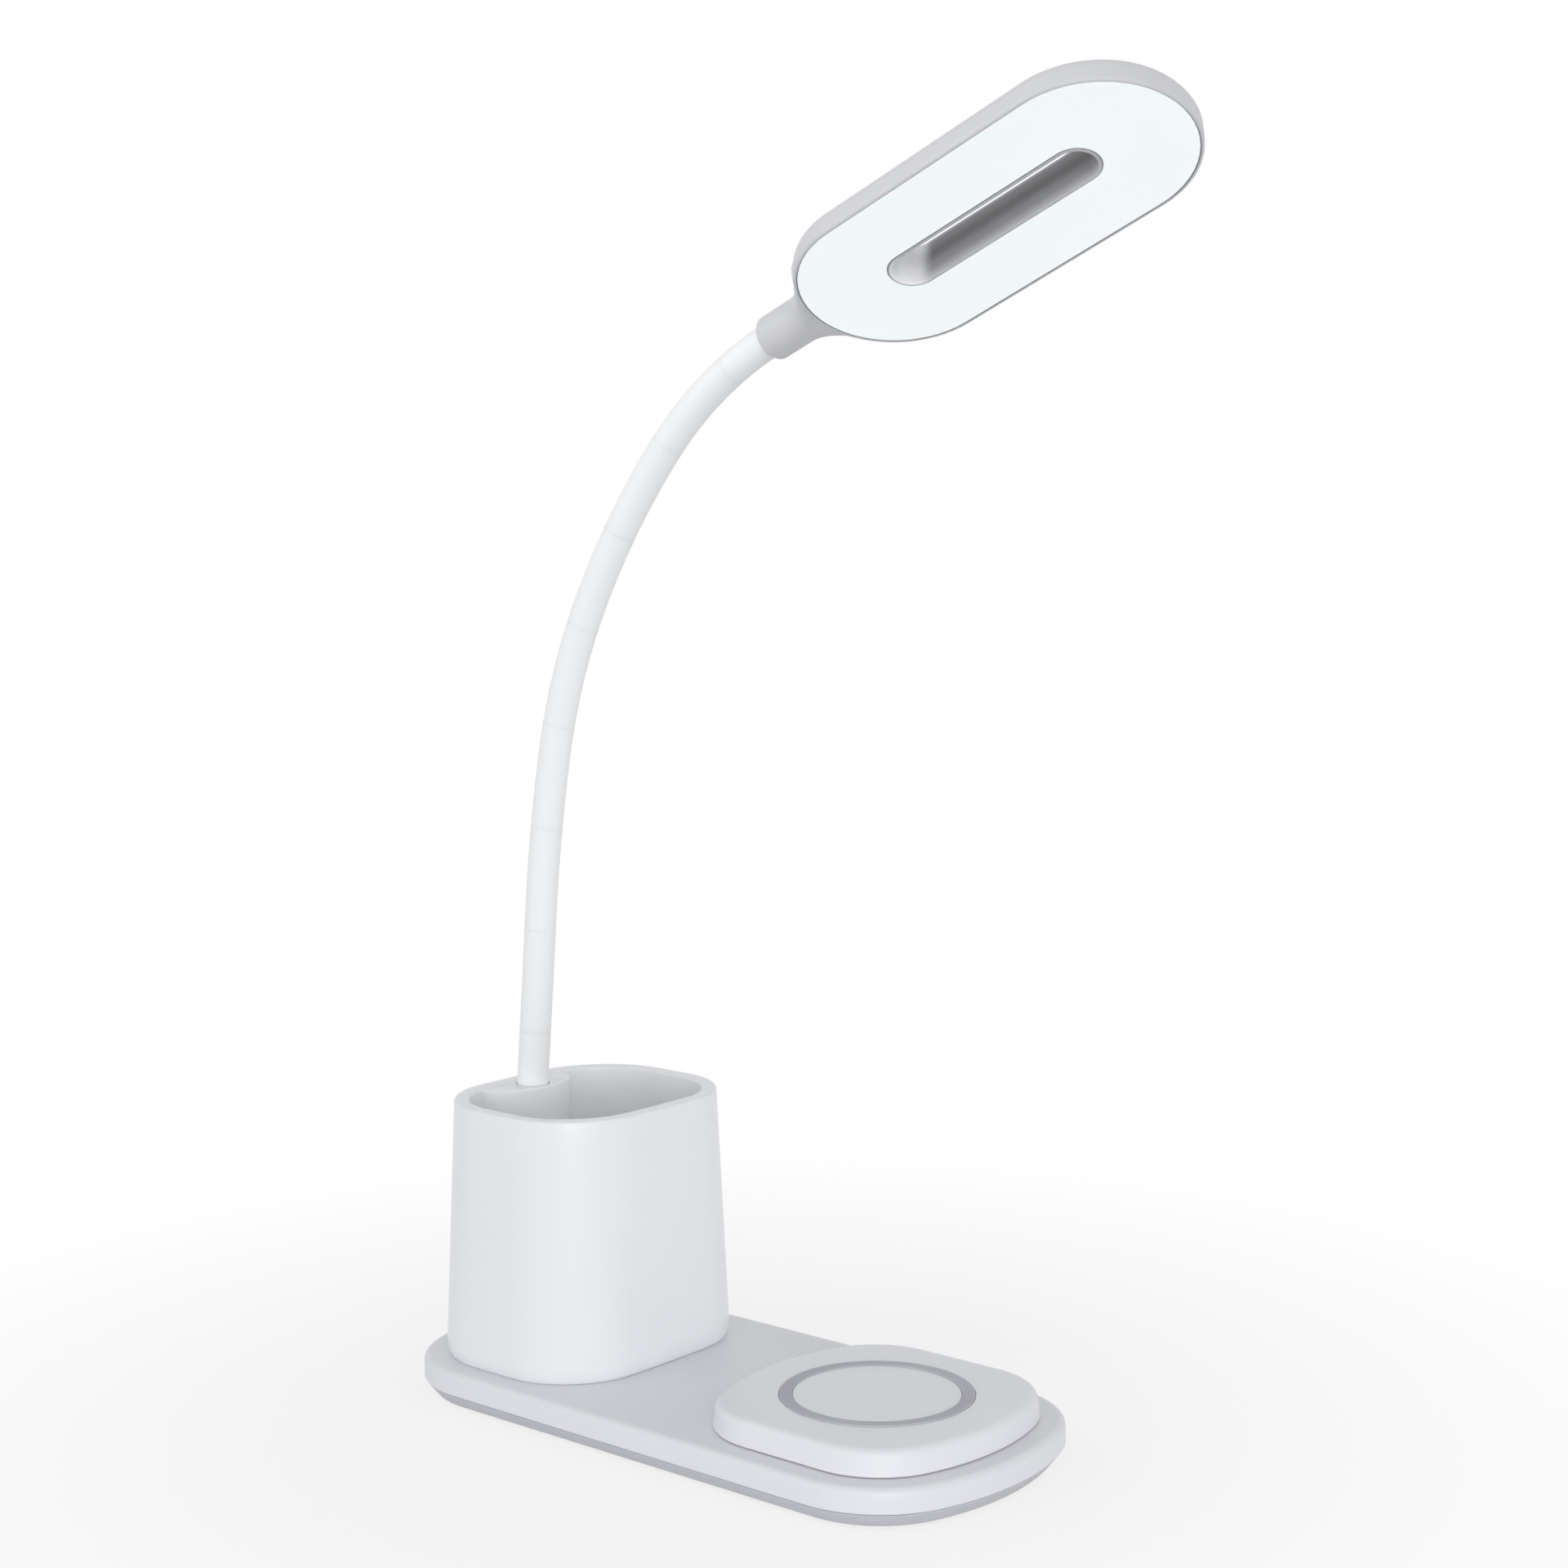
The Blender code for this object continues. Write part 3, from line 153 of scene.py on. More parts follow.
# Web between the collar and the housing: an arc out of the collar, then a straight run.
# Where its section changes and where it sinks are a start and a run along the head
COLLAR_RADIUS = 5.675 * MM
FLARE_START = 10.35 * MM
FLARE_RUN = 5.9 * MM
FLARE_RADIUS = 8.3 * MM
FLARE_STRAIGHT = 8.75 * MM
FLARE_SLOPE = 1.01
WEB_DROP = 0.75 * MM
WEB_RISE = -2.2 * MM
WEB_SINK = 2.2 * MM
WEB_CHANGING = (10 * MM, 11 * MM)
WEB_SINKING = (13 * MM, 10 * MM)
WEB_END = 30.0 * MM

# Camera, found from the phone that lies on the pad in the photograph
CAMERA_PLACE = Vector((449.05, -504.6, 237.9)) * MM
CAMERA_TURN = math.radians(40.47)
CAMERA_PITCH = math.radians(6.32)
CAMERA_ROLL = math.radians(-0.36)
FOCAL_PIXELS = 3333.5
FRAME_PIXELS = 1920
SENSOR = 36.0

# World and floor, whose painted shade and fade each run between two distances from the middle
SKY_STRENGTH = 1.26
FLOOR_HALF = 3.0
FLOOR_SHADE = (0.18, 0.75)
FLOOR_FADE = (0.10, 0.28)
FLOOR_LEAST_WHITE = 0.76


# Outlines


def arc(centre, radius, start, end, steps):
    turns = np.linspace(start, end, steps + 1)
    return [(centre[0] + radius * math.cos(t), centre[1] + radius * math.sin(t)) for t in turns]


def between(first, last, pieces):
    """The points that part a line into equal pieces, without its ends."""
    (x, y), (u, v) = first, last
    return [(x + (u - x) * k / pieces, y + (v - y) * k / pieces) for k in range(1, pieces)]


def bowed_plan(length, depth, corner, bow, inset=0.0, steps=18, bow_steps=20, side=24):
    """Straight long sides, round corners and gently bowed ends."""
    rise = depth / 2 - corner
    run = math.sqrt((bow - corner) ** 2 - rise**2) - bow
    turn = math.atan2(rise, run + bow)
    back = arc((run, rise), corner - inset, turn, math.pi / 2, steps)
    middle = arc((-bow, 0), bow - inset, -turn, turn, bow_steps)
    front = [(x, -y) for x, y in reversed(back)]
    right = [(length / 2 + x, y) for x, y in front[:-1] + middle + back[1:]]
    half = right + between(right[-1], (-right[0][0], -right[0][1]), side)
    return half + [(-x, -y) for x, y in half]


def base_plan(inset):
    return bowed_plan(*BASE, inset)


def pad_plan(inset):
    depth, corner, bow = BASE[1] - 2 * PAD_INSET, BASE[2] - PAD_INSET, BASE[3] - PAD_INSET
    return moved(bowed_plan(PAD_LENGTH, depth, corner, bow, inset), PAD_X, 0)


def soft_box(length, depth, corner, bulge_x=0.0, bulge_y=0.0, inset=0.0, steps=14, side=10):
    """A box with round corners, whose sides swell outwards in the middle."""
    half_x = length / 2 - bulge_x - inset
    half_y = depth / 2 - bulge_y - inset
    radius = corner - inset
    points = []
    for quarter, (sx, sy) in enumerate(((1, 1), (-1, 1), (-1, -1), (1, -1))):
        start = quarter * math.pi / 2
        middle = (sx * (half_x - radius), sy * (half_y - radius))
        points += arc(middle, radius, start, start + math.pi / 2, steps)
        x, y = points[-1]
        points += between((x, y), (x, -y) if quarter % 2 else (-x, y), side)
    out = []
    for x, y in points:
        swell_x = bulge_x * x / half_x * (1 - (y / half_y) ** 2)
        swell_y = bulge_y * y / half_y * (1 - (x / half_x) ** 2)
        out.append((x + swell_x, y + swell_y))
    return out


def stadium(length, width, inset=0.0, steps=40, side=30):
    right = arc(((length - width) / 2, 0), width / 2 - inset, -math.pi / 2, math.pi / 2, steps)
    x, y = right[-1]
    half = right + between((x, y), (-x, y), side)
    return half + [(-x, -y) for x, y in half]


def circle(radius, sides=64, centre=(0.0, 0.0)):
    return arc(centre, radius, 0, 2 * math.pi, sides)[:-1]


def round_over(run, rise, steps):
    """(inset, height) up a quarter of an ellipse, from its side to its top."""
    return [(run * (1 - math.cos(t)), rise * math.sin(t)) for t in np.linspace(0, math.pi / 2, steps + 1)]


def four(x, y):
    return [(x, y), (-x, y), (-x, -y), (x, -y)]


def moved(outline, x, y):
    return [(x + a, y + b) for a, b in outline]


def at(outline, z):
    return [(x, y, z) for x, y in outline]


def stacked(plan, rows):
    """A plan's outline at each (inset, height)."""
    return [at(plan(inset), z) for inset, z in rows]


# Meshes


def mesh_object(name, points, faces, material, sharp=35.0, weld=1e-7):
    mesh = bpy.data.meshes.new(name)
    mesh.from_pydata([tuple(p) for p in points], [], faces)
    work = bmesh.new()
    work.from_mesh(mesh)
    bmesh.ops.remove_doubles(work, verts=work.verts, dist=weld)
    bmesh.ops.recalc_face_normals(work, faces=work.faces)
    work.to_mesh(mesh)
    work.free()
    mesh.shade_smooth()
    mesh.set_sharp_from_angle(angle=math.radians(sharp))
    thing = bpy.data.objects.new(name, mesh)
    bpy.context.scene.collection.objects.link(thing)
    if material is not None:
        mesh.materials.append(material)
    return thing


def loft(name, loops, material=None, ring=False, sharp=35.0):
    """A closed skin over loops of equal count, capped at both ends or, for a ring, joined up."""
    count = len(loops[0])
    points = [p for loop in loops for p in loop]
    pairs = [(i, i + 1) for i in range(len(loops) - 1)]
    if ring:
        pairs.append((len(loops) - 1, 0))
    faces = []
    for a, b in pairs:
        for i in range(count):
            j = (i + 1) % count
            faces.append((a * count + i, a * count + j, b * count + j, b * count + i))
    if not ring:
        faces.append(tuple(range(count))[::-1])
        faces.append(tuple((len(loops) - 1) * count + i for i in range(count)))
    return mesh_object(name, points, faces, material, sharp)


def turned(name, profile, material=None, sides=72, ring=False, sharp=35.0, least=1e-6):
    """A profile of (radius, height) turned about Z; a point on the axis becomes a tiny circle."""
    loops = [at(circle(max(radius, least), sides), z) for radius, z in profile]
    return loft(name, loops, material, ring=ring, sharp=sharp)


def prism(outline, low, high):
    return loft("cutter", [at(outline, low), at(outline, high)])


def applied(thing):
    """Swaps the mesh for the one that its modifiers make, so that what stays is a plain mesh."""
    graph = bpy.context.evaluated_depsgraph_get()
    made = bpy.data.meshes.new_from_object(thing.evaluated_get(graph))
    thing.modifiers.clear()
    thing.data = made
    return made


def carve(thing, cutters, operation="DIFFERENCE", sharp=35.0):
    for other in cutters:
        step = thing.modifiers.new("cut", "BOOLEAN")
        step.object = other
        step.operation = operation
        step.solver = "EXACT"
    made = applied(thing)
    made.shade_smooth()
    made.set_sharp_from_angle(angle=math.radians(sharp))
    for other in cutters:
        bpy.data.objects.remove(other)
    return thing


def placed(thing, matrix):
    thing.data.transform(matrix)
    return thing


def settle(thing, body, slot, *replaced):
    """Hides the solids that a piece stands for and sets it on the body it rides on; the slot is not used.
    """
    if replaced:
        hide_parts(*replaced)
    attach(thing, body)
    return thing


# Material nodes


def shader_of(name, **values):
    made = bpy.data.materials.new(name)
    made.use_nodes = True
    shader = made.node_tree.nodes["Principled BSDF"]
    for key, value in values.items():
        shader.inputs[key.replace("_", " ")].default_value = value
    return made, made.node_tree, shader


def own_place(tree):
    return tree.nodes.new("ShaderNodeTexCoord").outputs["Object"]


def noise(tree, scale, detail=3.0, roughness=0.55, stretch=(1, 1, 1)):
    turn = tree.nodes.new("ShaderNodeMapping")
    turn.inputs["Scale"].default_value = stretch
    made = tree.nodes.new("ShaderNodeTexNoise")
    made.inputs["Scale"].default_value = scale
    made.inputs["Detail"].default_value = detail
    made.inputs["Roughness"].default_value = roughness
    tree.links.new(own_place(tree), turn.inputs["Vector"])
    tree.links.new(turn.outputs["Vector"], made.inputs["Vector"])
    return made.outputs["Fac"]


def ranged(tree, value, low, high, start=0.3, end=0.7):
    made = tree.nodes.new("ShaderNodeMapRange")
    made.inputs["From Min"].default_value = start
    made.inputs["From Max"].default_value = end
    made.inputs["To Min"].default_value = low
    made.inputs["To Max"].default_value = high
    tree.links.new(value, made.inputs["Value"])
    return made.outputs["Result"]


def tinted(tree, value, first, second, start=0.3, end=0.7):
    ramp = tree.nodes.new("ShaderNodeValToRGB")
    ramp.color_ramp.elements[0].position = start
    ramp.color_ramp.elements[1].position = end
    ramp.color_ramp.elements[0].color = (*first, 1)
    ramp.color_ramp.elements[1].color = (*second, 1)
    tree.links.new(value, ramp.inputs["Fac"])
    return ramp.outputs["Color"]


def bumped(tree, value, strength, distance, under=None):
    made = tree.nodes.new("ShaderNodeBump")
    made.inputs["Strength"].default_value = strength
    made.inputs["Distance"].default_value = distance
    tree.links.new(value, made.inputs["Height"])
    if under is not None:
        tree.links.new(under, made.inputs["Normal"])
    return made.outputs["Normal"]


def graded(tree, axis, low, high, stops, blue=1.03):
    """A faintly blue grey that changes along one of the piece's own axes, from low to high."""
    split = tree.nodes.new("ShaderNodeSeparateXYZ")
    tree.links.new(own_place(tree), split.inputs[0])
    share = ranged(tree, split.outputs[axis], 0.0, 1.0, low, high)
    ramp = tree.nodes.new("ShaderNodeValToRGB")
    ramp.color_ramp.interpolation = "EASE"
    points = ramp.color_ramp.elements
    while len(points) < len(stops):
        points.new(0.5)
    for point, (where, grey) in zip(points, stops):
        point.position = where
        point.color = (grey, grey, grey * blue, 1)
    tree.links.new(share, ramp.inputs["Fac"])
    return ramp.outputs["Color"]


def arithmetic(tree, operation, first, second):
    made = tree.nodes.new("ShaderNodeMath")
    made.operation = operation
    tree.links.new(first, made.inputs[0])
    tree.links.new(second, made.inputs[1])
    return made.outputs[0]


def background_rays(tree):
    """1 for the rays that show a background: the camera's own, mirrored ones and those through glass."""
    rays = tree.nodes.new("ShaderNodeLightPath").outputs
    seen = arithmetic(tree, "MAXIMUM", rays["Is Camera Ray"], rays["Is Glossy Ray"])
    return arithmetic(tree, "MAXIMUM", seen, rays["Is Transmission Ray"])


def mixed(tree, share, first, second, surface):
    mix = tree.nodes.new("ShaderNodeMixShader")
    tree.links.new(share, mix.inputs["Fac"])
    tree.links.new(first.outputs[0], mix.inputs[1])
    tree.links.new(second.outputs[0], mix.inputs[2])
    tree.links.new(mix.outputs[0], surface)


# Materials


def moulded(name, colour, rough, grain=0.25, flow=0.12, drift=0.012, **values):
    """Moulded plastic: a fine spark texture, faint flow in the wall and a little colour drift."""
    made, tree, shader = shader_of(name, **values)
    pair = [tuple(max(0.0, c * (1 + k * drift)) for c in colour) for k in (-1, 1)]
    cloud = noise(tree, scale=34.0, detail=2.0)
    blotch = noise(tree, scale=260.0, detail=2.0)
    spark = noise(tree, scale=500.0, detail=1.0, roughness=0.5)
    wave = bumped(tree, noise(tree, scale=55.0, detail=1.0), flow, 0.4 * MM)
    tree.links.new(tinted(tree, cloud, *pair), shader.inputs["Base Color"])
    tree.links.new(ranged(tree, blotch, *rough), shader.inputs["Roughness"])
    tree.links.new(bumped(tree, spark, grain, 0.02 * MM, wave), shader.inputs["Normal"])
    return made


def metal(name, colour, rough, stretch=(1, 1, 1), scale=900.0, bump=0.2):
    """Metal whose grain runs across the axis that it is stretched along."""
    made, tree, shader = shader_of(name, Metallic=1.0)
    dark, light = (tuple(c * k for c in colour) for k in (0.9, 1.06))
    grain = noise(tree, scale, 3.0, 0.6, stretch)
    tree.links.new(tinted(tree, grain, dark, light), shader.inputs["Base Color"])
    tree.links.new(ranged(tree, grain, *rough), shader.inputs["Roughness"])
    tree.links.new(bumped(tree, grain, bump, 0.02 * MM), shader.inputs["Normal"])
    return made


# Each plastic's name, colour, range of roughness, grain, flow and colour drift
cup_white = moulded("cup_white", (0.86, 0.865, 0.88), (0.285, 0.32), 0.04, 0.02, 0.004)
base_white = moulded("base_white", (0.80, 0.80, 0.82), (0.36, 0.40), 0.06, 0.02, 0.004)
pad_white = moulded("pad_white", (0.82, 0.82, 0.84), (0.34, 0.38), 0.06, 0.02, 0.004)
tray_grey = moulded("tray_grey", (0.58, 0.58, 0.62), (0.46, 0.52), 0.12, 0.02, 0.006)
head_white = moulded("head_white", (0.64, 0.64, 0.655), (0.42, 0.46), 0.08, 0.02, 0.004)
neck_white = moulded("neck_white", (0.935, 0.94, 0.93), (0.44, 0.50), 0.05, 0.01, 0.004)
foot_rubber = moulded("foot_rubber", (0.035, 0.035, 0.038), (0.72, 0.86), 0.8, 0.1, 0.15)
# Painted shade: a dark grey for the floor of the gaps round the diffuser, standing for the shadow in them
gap_painted_shade = moulded("gap_painted_shade", (0.24, 0.24, 0.25), (0.6, 0.7), 0.2, 0.02, 0.05)
grip_rubber = moulded("grip_rubber", (0.50, 0.50, 0.53), (0.62, 0.74), 0.6, 0.1, 0.05)
black_plastic = moulded("black_plastic", (0.03, 0.03, 0.033), (0.4, 0.5), 0.4, 0.05, 0.1)
ferrite_black = moulded("ferrite_sheet", (0.05, 0.05, 0.055), (0.5, 0.66), 0.7, 0.2, 0.12)
reflector_white = moulded("reflector_white", (0.88, 0.88, 0.87), (0.5, 0.62), 0.4, 0.05)
strip_white = moulded("strip_white", (0.78, 0.76, 0.62), (0.4, 0.55), 0.4, 0.05, 0.06)

# Each metal's name, colour, range of roughness, and its grain's stretch, scale and depth
screw_zinc = metal("screw_zinc", (0.55, 0.56, 0.58), (0.28, 0.42))
plate_steel = metal("plate_steel", (0.33, 0.34, 0.36), (0.4, 0.6), (1, 14, 1), 260.0, 0.3)
shell_steel = metal("shell_steel", (0.62, 0.63, 0.65), (0.2, 0.32), (1, 1, 8), 700.0)
brass = metal("ferrule_brass", (0.72, 0.50, 0.22), (0.24, 0.36))
gold = metal("contact_gold", (0.86, 0.62, 0.26), (0.2, 0.3))
foil_copper = metal("touch_foil", (0.72, 0.36, 0.20), (0.3, 0.45), scale=500.0)


def diffuser_material():
    """Lit opal acrylic: even light with the faintest fall-off, under a fine satin skin."""
    made, tree, shader = shader_of("diffuser_opal", Emission_Strength=0.575)
    cloud = noise(tree, scale=26.0, detail=2.0)
    skin = tinted(tree, cloud, (0.48, 0.505, 0.51), (0.50, 0.525, 0.53))
    glow = tinted(tree, cloud, (0.90, 0.955, 0.965), (0.92, 0.965, 0.97))
    satin = noise(tree, scale=3000.0, detail=1.0)
    tree.links.new(skin, shader.inputs["Base Color"])
    tree.links.new(glow, shader.inputs["Emission Color"])
    tree.links.new(ranged(tree, noise(tree, scale=600.0), 0.45, 0.55), shader.inputs["Roughness"])
    tree.links.new(bumped(tree, satin, 0.2, 0.01 * MM), shader.inputs["Normal"])
    return made


def slot_material():
    """The slot's wall: the head's plastic with painted shade, darkest half way in, and painted light at its
    near end by the neck.
    """
    made, tree, shader = shader_of("slot_wall_painted_shade")
    # Painted shade along the depth: darkest half way in, lighter at the face and at the back
    depths = ((0.0, 0.62), (0.3, 0.34), (0.62, 0.13), (0.86, 0.2), (1.0, 0.5))
    painted_deep_shade = graded(tree, "Z", FACE, HEAD_TOP, depths)
    start = REACH - SLOT[0] / 2
    # Painted light: the wall grows lighter towards its near end by the neck
    near = graded(tree, "X", start, start + 7.0 * MM, ((0.0, 1.0), (0.3, 0.92), (1.0, 0.0)))
    mix = tree.nodes.new("ShaderNodeMix")
    mix.data_type = "RGBA"
    mix.blend_type = "SCREEN"
    mix.inputs["Factor"].default_value = 0.9
    tree.links.new(painted_deep_shade, mix.inputs["A"])
    tree.links.new(near, mix.inputs["B"])
    spark = noise(tree, scale=2600.0, detail=2.0)
    tree.links.new(mix.outputs["Result"], shader.inputs["Base Color"])
    tree.links.new(ranged(tree, noise(tree, scale=420.0), 0.36, 0.46), shader.inputs["Roughness"])
    tree.links.new(bumped(tree, spark, 0.12, 0.02 * MM), shader.inputs["Normal"])
    return made


def board_material():
    """Green laminate with a grid of tracks under a clear coat."""
    made, tree, shader = shader_of("board_laminate", Coat_Weight=0.4)
    tracks = tree.nodes.new("ShaderNodeTexBrick")
    tracks.inputs["Scale"].default_value = 260.0
    tracks.inputs["Color1"].default_value = (0.02, 0.13, 0.06, 1)
    tracks.inputs["Color2"].default_value = (0.025, 0.16, 0.075, 1)
    tracks.inputs["Mortar"].default_value = (0.05, 0.24, 0.12, 1)
    tree.links.new(own_place(tree), tracks.inputs["Vector"])
    tree.links.new(tracks.outputs["Color"], shader.inputs["Base Color"])
    tree.links.new(ranged(tree, noise(tree, scale=900.0), 0.3, 0.45), shader.inputs["Roughness"])
    tree.links.new(bumped(tree, tracks.outputs["Fac"], 0.3, 0.04 * MM), shader.inputs["Normal"])
    return made


def coil_material():
    """Enamelled copper with a fine grain that lies level."""
    made, tree, shader = shader_of("coil_copper", Metallic=1.0)
    grain = noise(tree, 1600.0, 2.0, 0.6, (1, 1, 4))
    copper = tinted(tree, grain, (0.50, 0.20, 0.08), (0.78, 0.36, 0.16))
    tree.links.new(copper, shader.inputs["Base Color"])
    tree.links.new(ranged(tree, grain, 0.25, 0.42), shader.inputs["Roughness"])
    tree.links.new(bumped(tree, grain, 0.5, 0.05 * MM), shader.inputs["Normal"])
    return made


def clear_material():
    """Clear acrylic with the fine dots that let a light guide's light out."""
    made, tree, shader = shader_of("guide_acrylic", Transmission_Weight=0.85, IOR=1.49)
    cloud = tinted(tree, noise(tree, scale=80.0, detail=2.0), (0.90, 0.95, 0.96), (0.94, 0.97, 0.98))
    dots = tree.nodes.new("ShaderNodeTexVoronoi")
    dots.inputs["Scale"].default_value = 900.0
    tree.links.new(own_place(tree), dots.inputs["Vector"])
    tree.links.new(cloud, shader.inputs["Base Color"])
    tree.links.new(ranged(tree, dots.outputs["Distance"], 0.08, 0.3), shader.inputs["Roughness"])
    tree.links.new(bumped(tree, dots.outputs["Distance"], 0.3, 0.03 * MM), shader.inputs["Normal"])
    return made


diffuser_opal = diffuser_material()
slot_shade = slot_material()

# Solids that keep their shape
CAD_FINISH = {
    "ballast_plate": plate_steel,
    "control_board": board_material(),
    "touch_electrode": foil_copper,
    "coil_carrier": black_plastic,
    "ferrite_sheet": ferrite_black,
    "charging_coil": coil_material(),
    "cup_screw_1": screw_zinc,
    "cup_screw_2": screw_zinc,
    "pad_screw_1": screw_zinc,
    "pad_screw_2": screw_zinc,
    "neck_ferrule": brass,
    "neck_nut": screw_zinc,
    "light_guide": clear_material(),
    "reflector_sheet": reflector_white,
    "led_strip_front": strip_white,
    "led_strip_back": strip_white,
    "head_ferrule": brass,
}


def dress_solids(sharp=32.0):
    for name, finish in CAD_FINISH.items():
        thing = nodes[name]
        for place in thing.material_slots:
            place.material = finish
        thing.data.shade_smooth()
        thing.data.set_sharp_from_angle(angle=math.radians(sharp))


# Base


def make_tray():
    """A slope from the underside out to the seam, with rounded edges, and a lip inside the cover."""
    under, soft, seam = 2.88 * MM, 0.35 * MM, 0.62 * MM
    rows = [(under + 1.32 * MM, 0.0), (under + 0.37 * MM, 0.06 * MM), (under, soft)]
    for k in range(1, 7):
        share = k / 7
        inset = under * (1 - share) + (seam + 0.04 * MM) * share
        rows.append((inset, soft + (TRAY_TOP - 2 * soft) * share))
    edge = round_over(soft, TRAY_EDGE, 4)
    rows += [(seam + inset, TRAY_TOP - TRAY_EDGE + rise) for inset, rise in edge]
    lip_inset, lip_width, lip_height = TRAY_LIP
    rows += [(lip_inset, TRAY_TOP), (lip_inset, TRAY_TOP + lip_height)]
    rows += [(lip_inset + lip_width, TRAY_TOP + lip_height), (lip_inset + lip_width, TRAY_FLOOR)]
    tray = loft("tray_shell", stacked(base_plan, rows), tray_grey)
    cutters = []
    for place in four(*FOOT_PLACE):
        cutters.append(prism(circle(FOOT_RADIUS + GAP, 64, place), -OVERRUN, FOOT_SEAT))
    for place in four(*SCREW_PLACE):
        cutters.append(prism(circle(SCREW_RADIUS + GAP, 48, place), -OVERRUN, SCREW_SEAT))
    notch = moved(four(INLET[0] / 2 + GAP, INLET_DEPTH), INLET_X, BASE[1] / 2)
    cutters.append(prism(notch, 4.0 * MM, 8.0 * MM))
    carve(tray, cutters)
    settle(tray, "stand", "tray_plastic", "base_bottom_tray")


def make_cover():
    """A skirt with a rounded top edge, open below, and a mouth for the inlet in its back."""
    start, shoulder = COVER_LOW + COVER_LOWER_EDGE, COVER_TOP - COVER_EDGE
    rows = [(COVER_WALL, COVER_TOP - COVER_WALL), (COVER_WALL, COVER_LOW)]
    edge = round_over(COVER_LOWER_EDGE, COVER_LOWER_EDGE, 3)
    rows += [(inset, start - rise) for inset, rise in reversed(edge)]
    rows += [(0.0, start + (shoulder - start) * k / 5) for k in range(1, 5)]
    rows += [(inset, shoulder + rise) for inset, rise in round_over(COVER_EDGE, COVER_EDGE, 10)]
    cover = loft("cover_shell", stacked(base_plan, rows), base_white)
    drop, inner, outer = 4.0 * MM, BASE[1] / 2 - 6.2 * MM, BASE[1] / 2 + 1.8 * MM
    mouth = stadium(INLET[0] + 2 * GAP, INLET[1] + 2 * GAP, steps=16, side=4)
    mouth = [(x, z if z > 0 else z - drop) for x, z in mouth]
    carve(cover, [loft("cutter", [upright(mouth, inner), upright(mouth, outer)])])
    settle(cover, "stand", "base_plastic", "base_top_cover")


def make_feet():
    """Rubber discs with a rounded edge and a shallow ring in the underside."""
    height, edge, groove = 1.5 * MM, 0.5 * MM, 0.18 * MM
    profile = [(0, height), (FOOT_RADIUS, height)]
    profile += [(FOOT_RADIUS - inset, edge - rise) for inset, rise in round_over(edge, edge, 5)]
    profile += [(3.3 * MM, 0), (3.1 * MM, groove), (2.7 * MM, groove), (2.5 * MM, 0), (0, 0)]
    for i, (x, y) in enumerate(four(*FOOT_PLACE)):
        foot = turned(f"foot_pad_{i + 1}", profile, foot_rubber, sharp=50)
        foot.location = (x, y, DESK_Z)
        settle(foot, "stand", "foot_rubber", f"rubber_foot_{i + 1}")


def screw_form():
    """A screw, head down: a domed head with a cross in it, and a shank with six turns of thread."""
    shank, root, pitch, turns = 1.3 * MM, 1.05 * MM, 0.5 * MM, 6
    start, under, rim = 4.0 * MM, 0.9 * MM, 0.5 * MM
    profile = [(0, start + 1.1 * MM), (shank / 2, start + 1.0 * MM), (shank, start + 0.1 * MM)]
    for k in range(turns):
        z = start - pitch * k
        profile += [(shank, z), (root, z - pitch / 2)]
    profile += [(shank, under + 0.05 * MM), (shank, under), (SCREW_RADIUS, under), (SCREW_RADIUS, rim)]
    profile += [(SCREW_RADIUS - inset, rim - rise) for inset, rise in round_over(under, rim, 6)]
    profile.append((0, -0.05 * MM))
    body = turned("screw_form", profile, screw_zinc, 48)
    reach, half, taper = 1.45 * MM, 0.26 * MM, 0.6
    cross = []
    for k in range(4):
        c, s = math.cos(k * math.pi / 2), math.sin(k * math.pi / 2)
        cross += [(c * x - s * y, s * x + c * y) for x, y in ((reach, half), (half, half), (half, reach))]
    floor = [(x * taper, y * taper) for x, y in cross]
    carve(body, [loft("cutter", [at(cross, -0.3 * MM), at(floor, 0.75 * MM)])])
    return body


def make_screws():
    """Four screws of one form, each stopped at a turn of its own."""
    body = screw_form()
    for i, (x, y) in enumerate(four(*SCREW_PLACE)):
        thing = bpy.data.objects.new(f"case_screw_{i + 1}", body.data)
        bpy.context.scene.collection.objects.link(thing)
        thing.location = (x, y, 0.02 * MM)
        thing.rotation_euler = (0, 0, 0.5 + 1.1 * i)
        settle(thing, "stand", "screw_steel", f"tray_screw_{i + 1}")
    bpy.data.objects.remove(body)


# Power inlet


def upright(outline, y):
    """An outline set upright round the inlet's axis."""
    return [(INLET_X + x, y, INLET_Z + z) for x, z in outline]


def make_inlet():
    """An oval metal mouth with a dark tongue in it, seen from the back."""
    far, floor = INLET_MOUTH_Y, INLET_FLOOR_Y
    rows = [(0.4, floor), (0.4, far - 0.25 * MM), (0.3, far - 0.06 * MM), (0.2, far)]
    rows += [(0.08, far - 0.08 * MM), (0.0, far - 0.3 * MM), (0.0, far - INLET_DEPTH)]
    loops = [upright(stadium(*INLET, inset * MM, 20, 6), y) for inset, y in rows]
    settle(loft("inlet_shell", loops, shell_steel), "stand", "inlet_steel", "power_inlet")
    width, height, length = TONGUE
    tip = floor + length
    loops = []
    for inset, y in ((0, floor - 0.2 * MM), (0, tip - 0.3 * MM), (0.1, tip - 0.08 * MM), (0.22, tip)):
        less = 2 * inset * MM
        loops.append(upright(soft_box(width - less, height - less, 0.12 * MM, steps=4, side=3), y))
    settle(loft("inlet_tongue", loops, black_plastic), "stand", "carrier_plastic")


